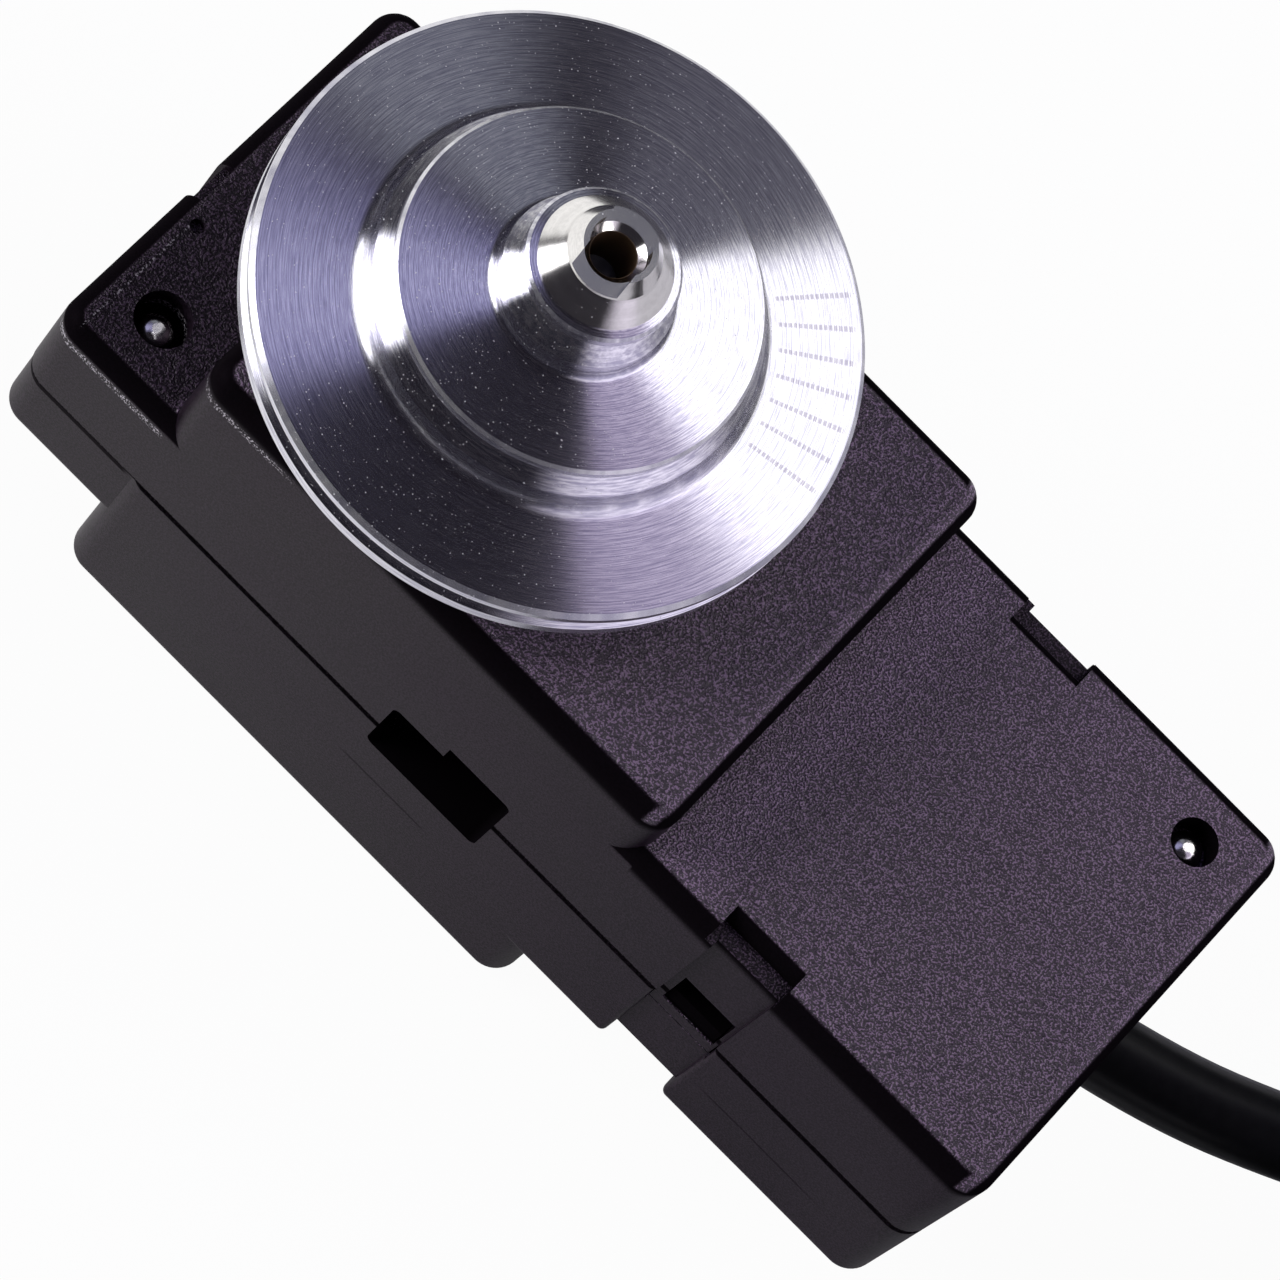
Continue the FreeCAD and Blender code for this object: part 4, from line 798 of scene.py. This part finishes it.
def white_table():
    """Matt paint mixed with a white glow, whose share depends on the kind of ray, and for gloss on x."""
    material, tree, place = start_finish("white_table")
    paint = tree.node("ShaderNodeBsdfDiffuse", None, {"Color": TABLE_PAINT})
    glow = tree.node("ShaderNodeEmission", None, {"Color": (1, 1, 1, 1), "Strength": 1.0})
    camera_ray, glossy_ray, clear_ray = (
        tree.node("ShaderNodeLightPath", output=f"Is {kind} Ray")
        for kind in ("Camera", "Glossy", "Transmission")
    )
    rightward = place.part("X").rise(*TABLE_FADE)
    mirrored = TABLE_MIRROR_LEFT + rightward * (TABLE_MIRROR_RIGHT - TABLE_MIRROR_LEFT)
    share = (camera_ray + clear_ray) * TABLE_GLOW_SHARE + glossy_ray * mirrored
    put_on(tree, blend(share, paint, glow))
    return material


square = np.array([(-1, -1, 0), (1, -1, 0), (1, 1, 0), (-1, 1, 0)])
table_corners = square * TABLE_HALF - (0, 0, TABLE_DROP)
table = mesh_piece("table", table_corners, np.array([[0, 1, 2, 3]]), white_table())
print("table", 2 * TABLE_HALF, "m wide")

# %% [markdown]
# ## Studio light
# The picture looks lit by a few soft panels in a dark tent, which turned metal shows as bright and dark
# sectors. Lamps could stand for the panels, but a sky whose colour depends on the direction is simpler
# and has no hard edges. A panel is a sector round the tent's crown, which is the place that a level
# mirror shows to the camera. Two round boxes add light from low down at both ends of the case.

# %% Sky
BLACK = (0, 0, 0, 1)
CROWN = LOOK * (1, 1, -1)
CROWN_EAST = np.cross((0, 1, 0), CROWN) / np.linalg.norm(np.cross((0, 1, 0), CROWN))
CROWN_NORTH = np.cross(CROWN, CROWN_EAST)
TENT_HEM_DEGREES = (50.0, 44.0)

world = bpy.data.worlds.new("studio")
world.use_nodes = True
world.node_tree.nodes.clear()
scene.world = world
sky = Wire(world.node_tree)
ray = sky.node("ShaderNodeTexCoord", output="Generated")


def softbox(azimuth, elevation, inner, outer, colour):
    """A round panel of light in the sky; its edge fades between two angles from its middle."""
    a, e = math.radians(azimuth), math.radians(elevation)
    aim = (math.cos(e) * math.cos(a), math.cos(e) * math.sin(a), math.sin(e))
    facing = ray.vector("DOT_PRODUCT", aim, "Value")
    lit = facing.rise(math.cos(math.radians(outer)), math.cos(math.radians(inner)))
    return lit.mixed(BLACK, (*colour, 1))


def tent_panel(first, last, colour, soft_first, soft_last):
    """A sector of the tent: a ray's turn about the crown is an arc tangent of two dot products."""
    middle, half = math.radians(0.5 * (first + last)), math.radians(0.5 * (last - first))
    outward = CROWN_EAST * math.cos(middle) + CROWN_NORTH * math.sin(middle)
    sideways = CROWN_NORTH * math.cos(middle) - CROWN_EAST * math.sin(middle)
    along, aside, height = (
        ray.vector("DOT_PRODUCT", axis, "Value") for axis in (outward, sideways, CROWN)
    )
    turn = ray.math("ARCTAN2", aside, along)
    begin, end = math.radians(soft_first), math.radians(soft_last)
    hem = height.rise(*(math.cos(math.radians(angle)) for angle in TENT_HEM_DEGREES))
    lit = turn.rise(-half - begin, -half + begin) * (1.0 - turn.rise(half - end, half + end)) * hem
    return lit.mixed(BLACK, (*colour, 1))


print("crown of the tent", CROWN.round(2).tolist())

# %% Panels
TENT_LOW = (0.03, 0.028, 0.034, 1)
TENT_HIGH = (0.016, 0.014, 0.019, 1)
panels = [
    tent_panel(0, 73, (1.75, 1.75, 1.77), soft_first=15, soft_last=2.5),
    tent_panel(-45, 8, (0.40, 0.345, 0.49), soft_first=4, soft_last=12),
    tent_panel(72, 114, (0.10, 0.10, 0.12), soft_first=6, soft_last=12),
    tent_panel(134, 172, (0.17, 0.18, 0.21), soft_first=12, soft_last=10),
    tent_panel(192, 236, (0.31, 0.30, 0.53), soft_first=26, soft_last=6),
    softbox(azimuth=205, elevation=22, inner=14, outer=24, colour=(6.5, 6.5, 6.7)),
    softbox(azimuth=0, elevation=24, inner=10, outer=42, colour=(0.9, 0.85, 1.0)),
]
light = ray.part("Z").rise(0.0, 1.0).mixed(TENT_LOW, TENT_HIGH)
for panel in panels:
    light = light.vector("ADD", panel)
seen = sky.node("ShaderNodeLightPath", output="Is Camera Ray")
backdrop = {"Color": seen.mixed(light, (1, 1, 1, 1)), "Strength": 1.0}
sky.node("ShaderNodeOutputWorld", None, {"Surface": sky.node("ShaderNodeBackground", None, backdrop)})
print(len(panels), "soft panels in a dark tent")
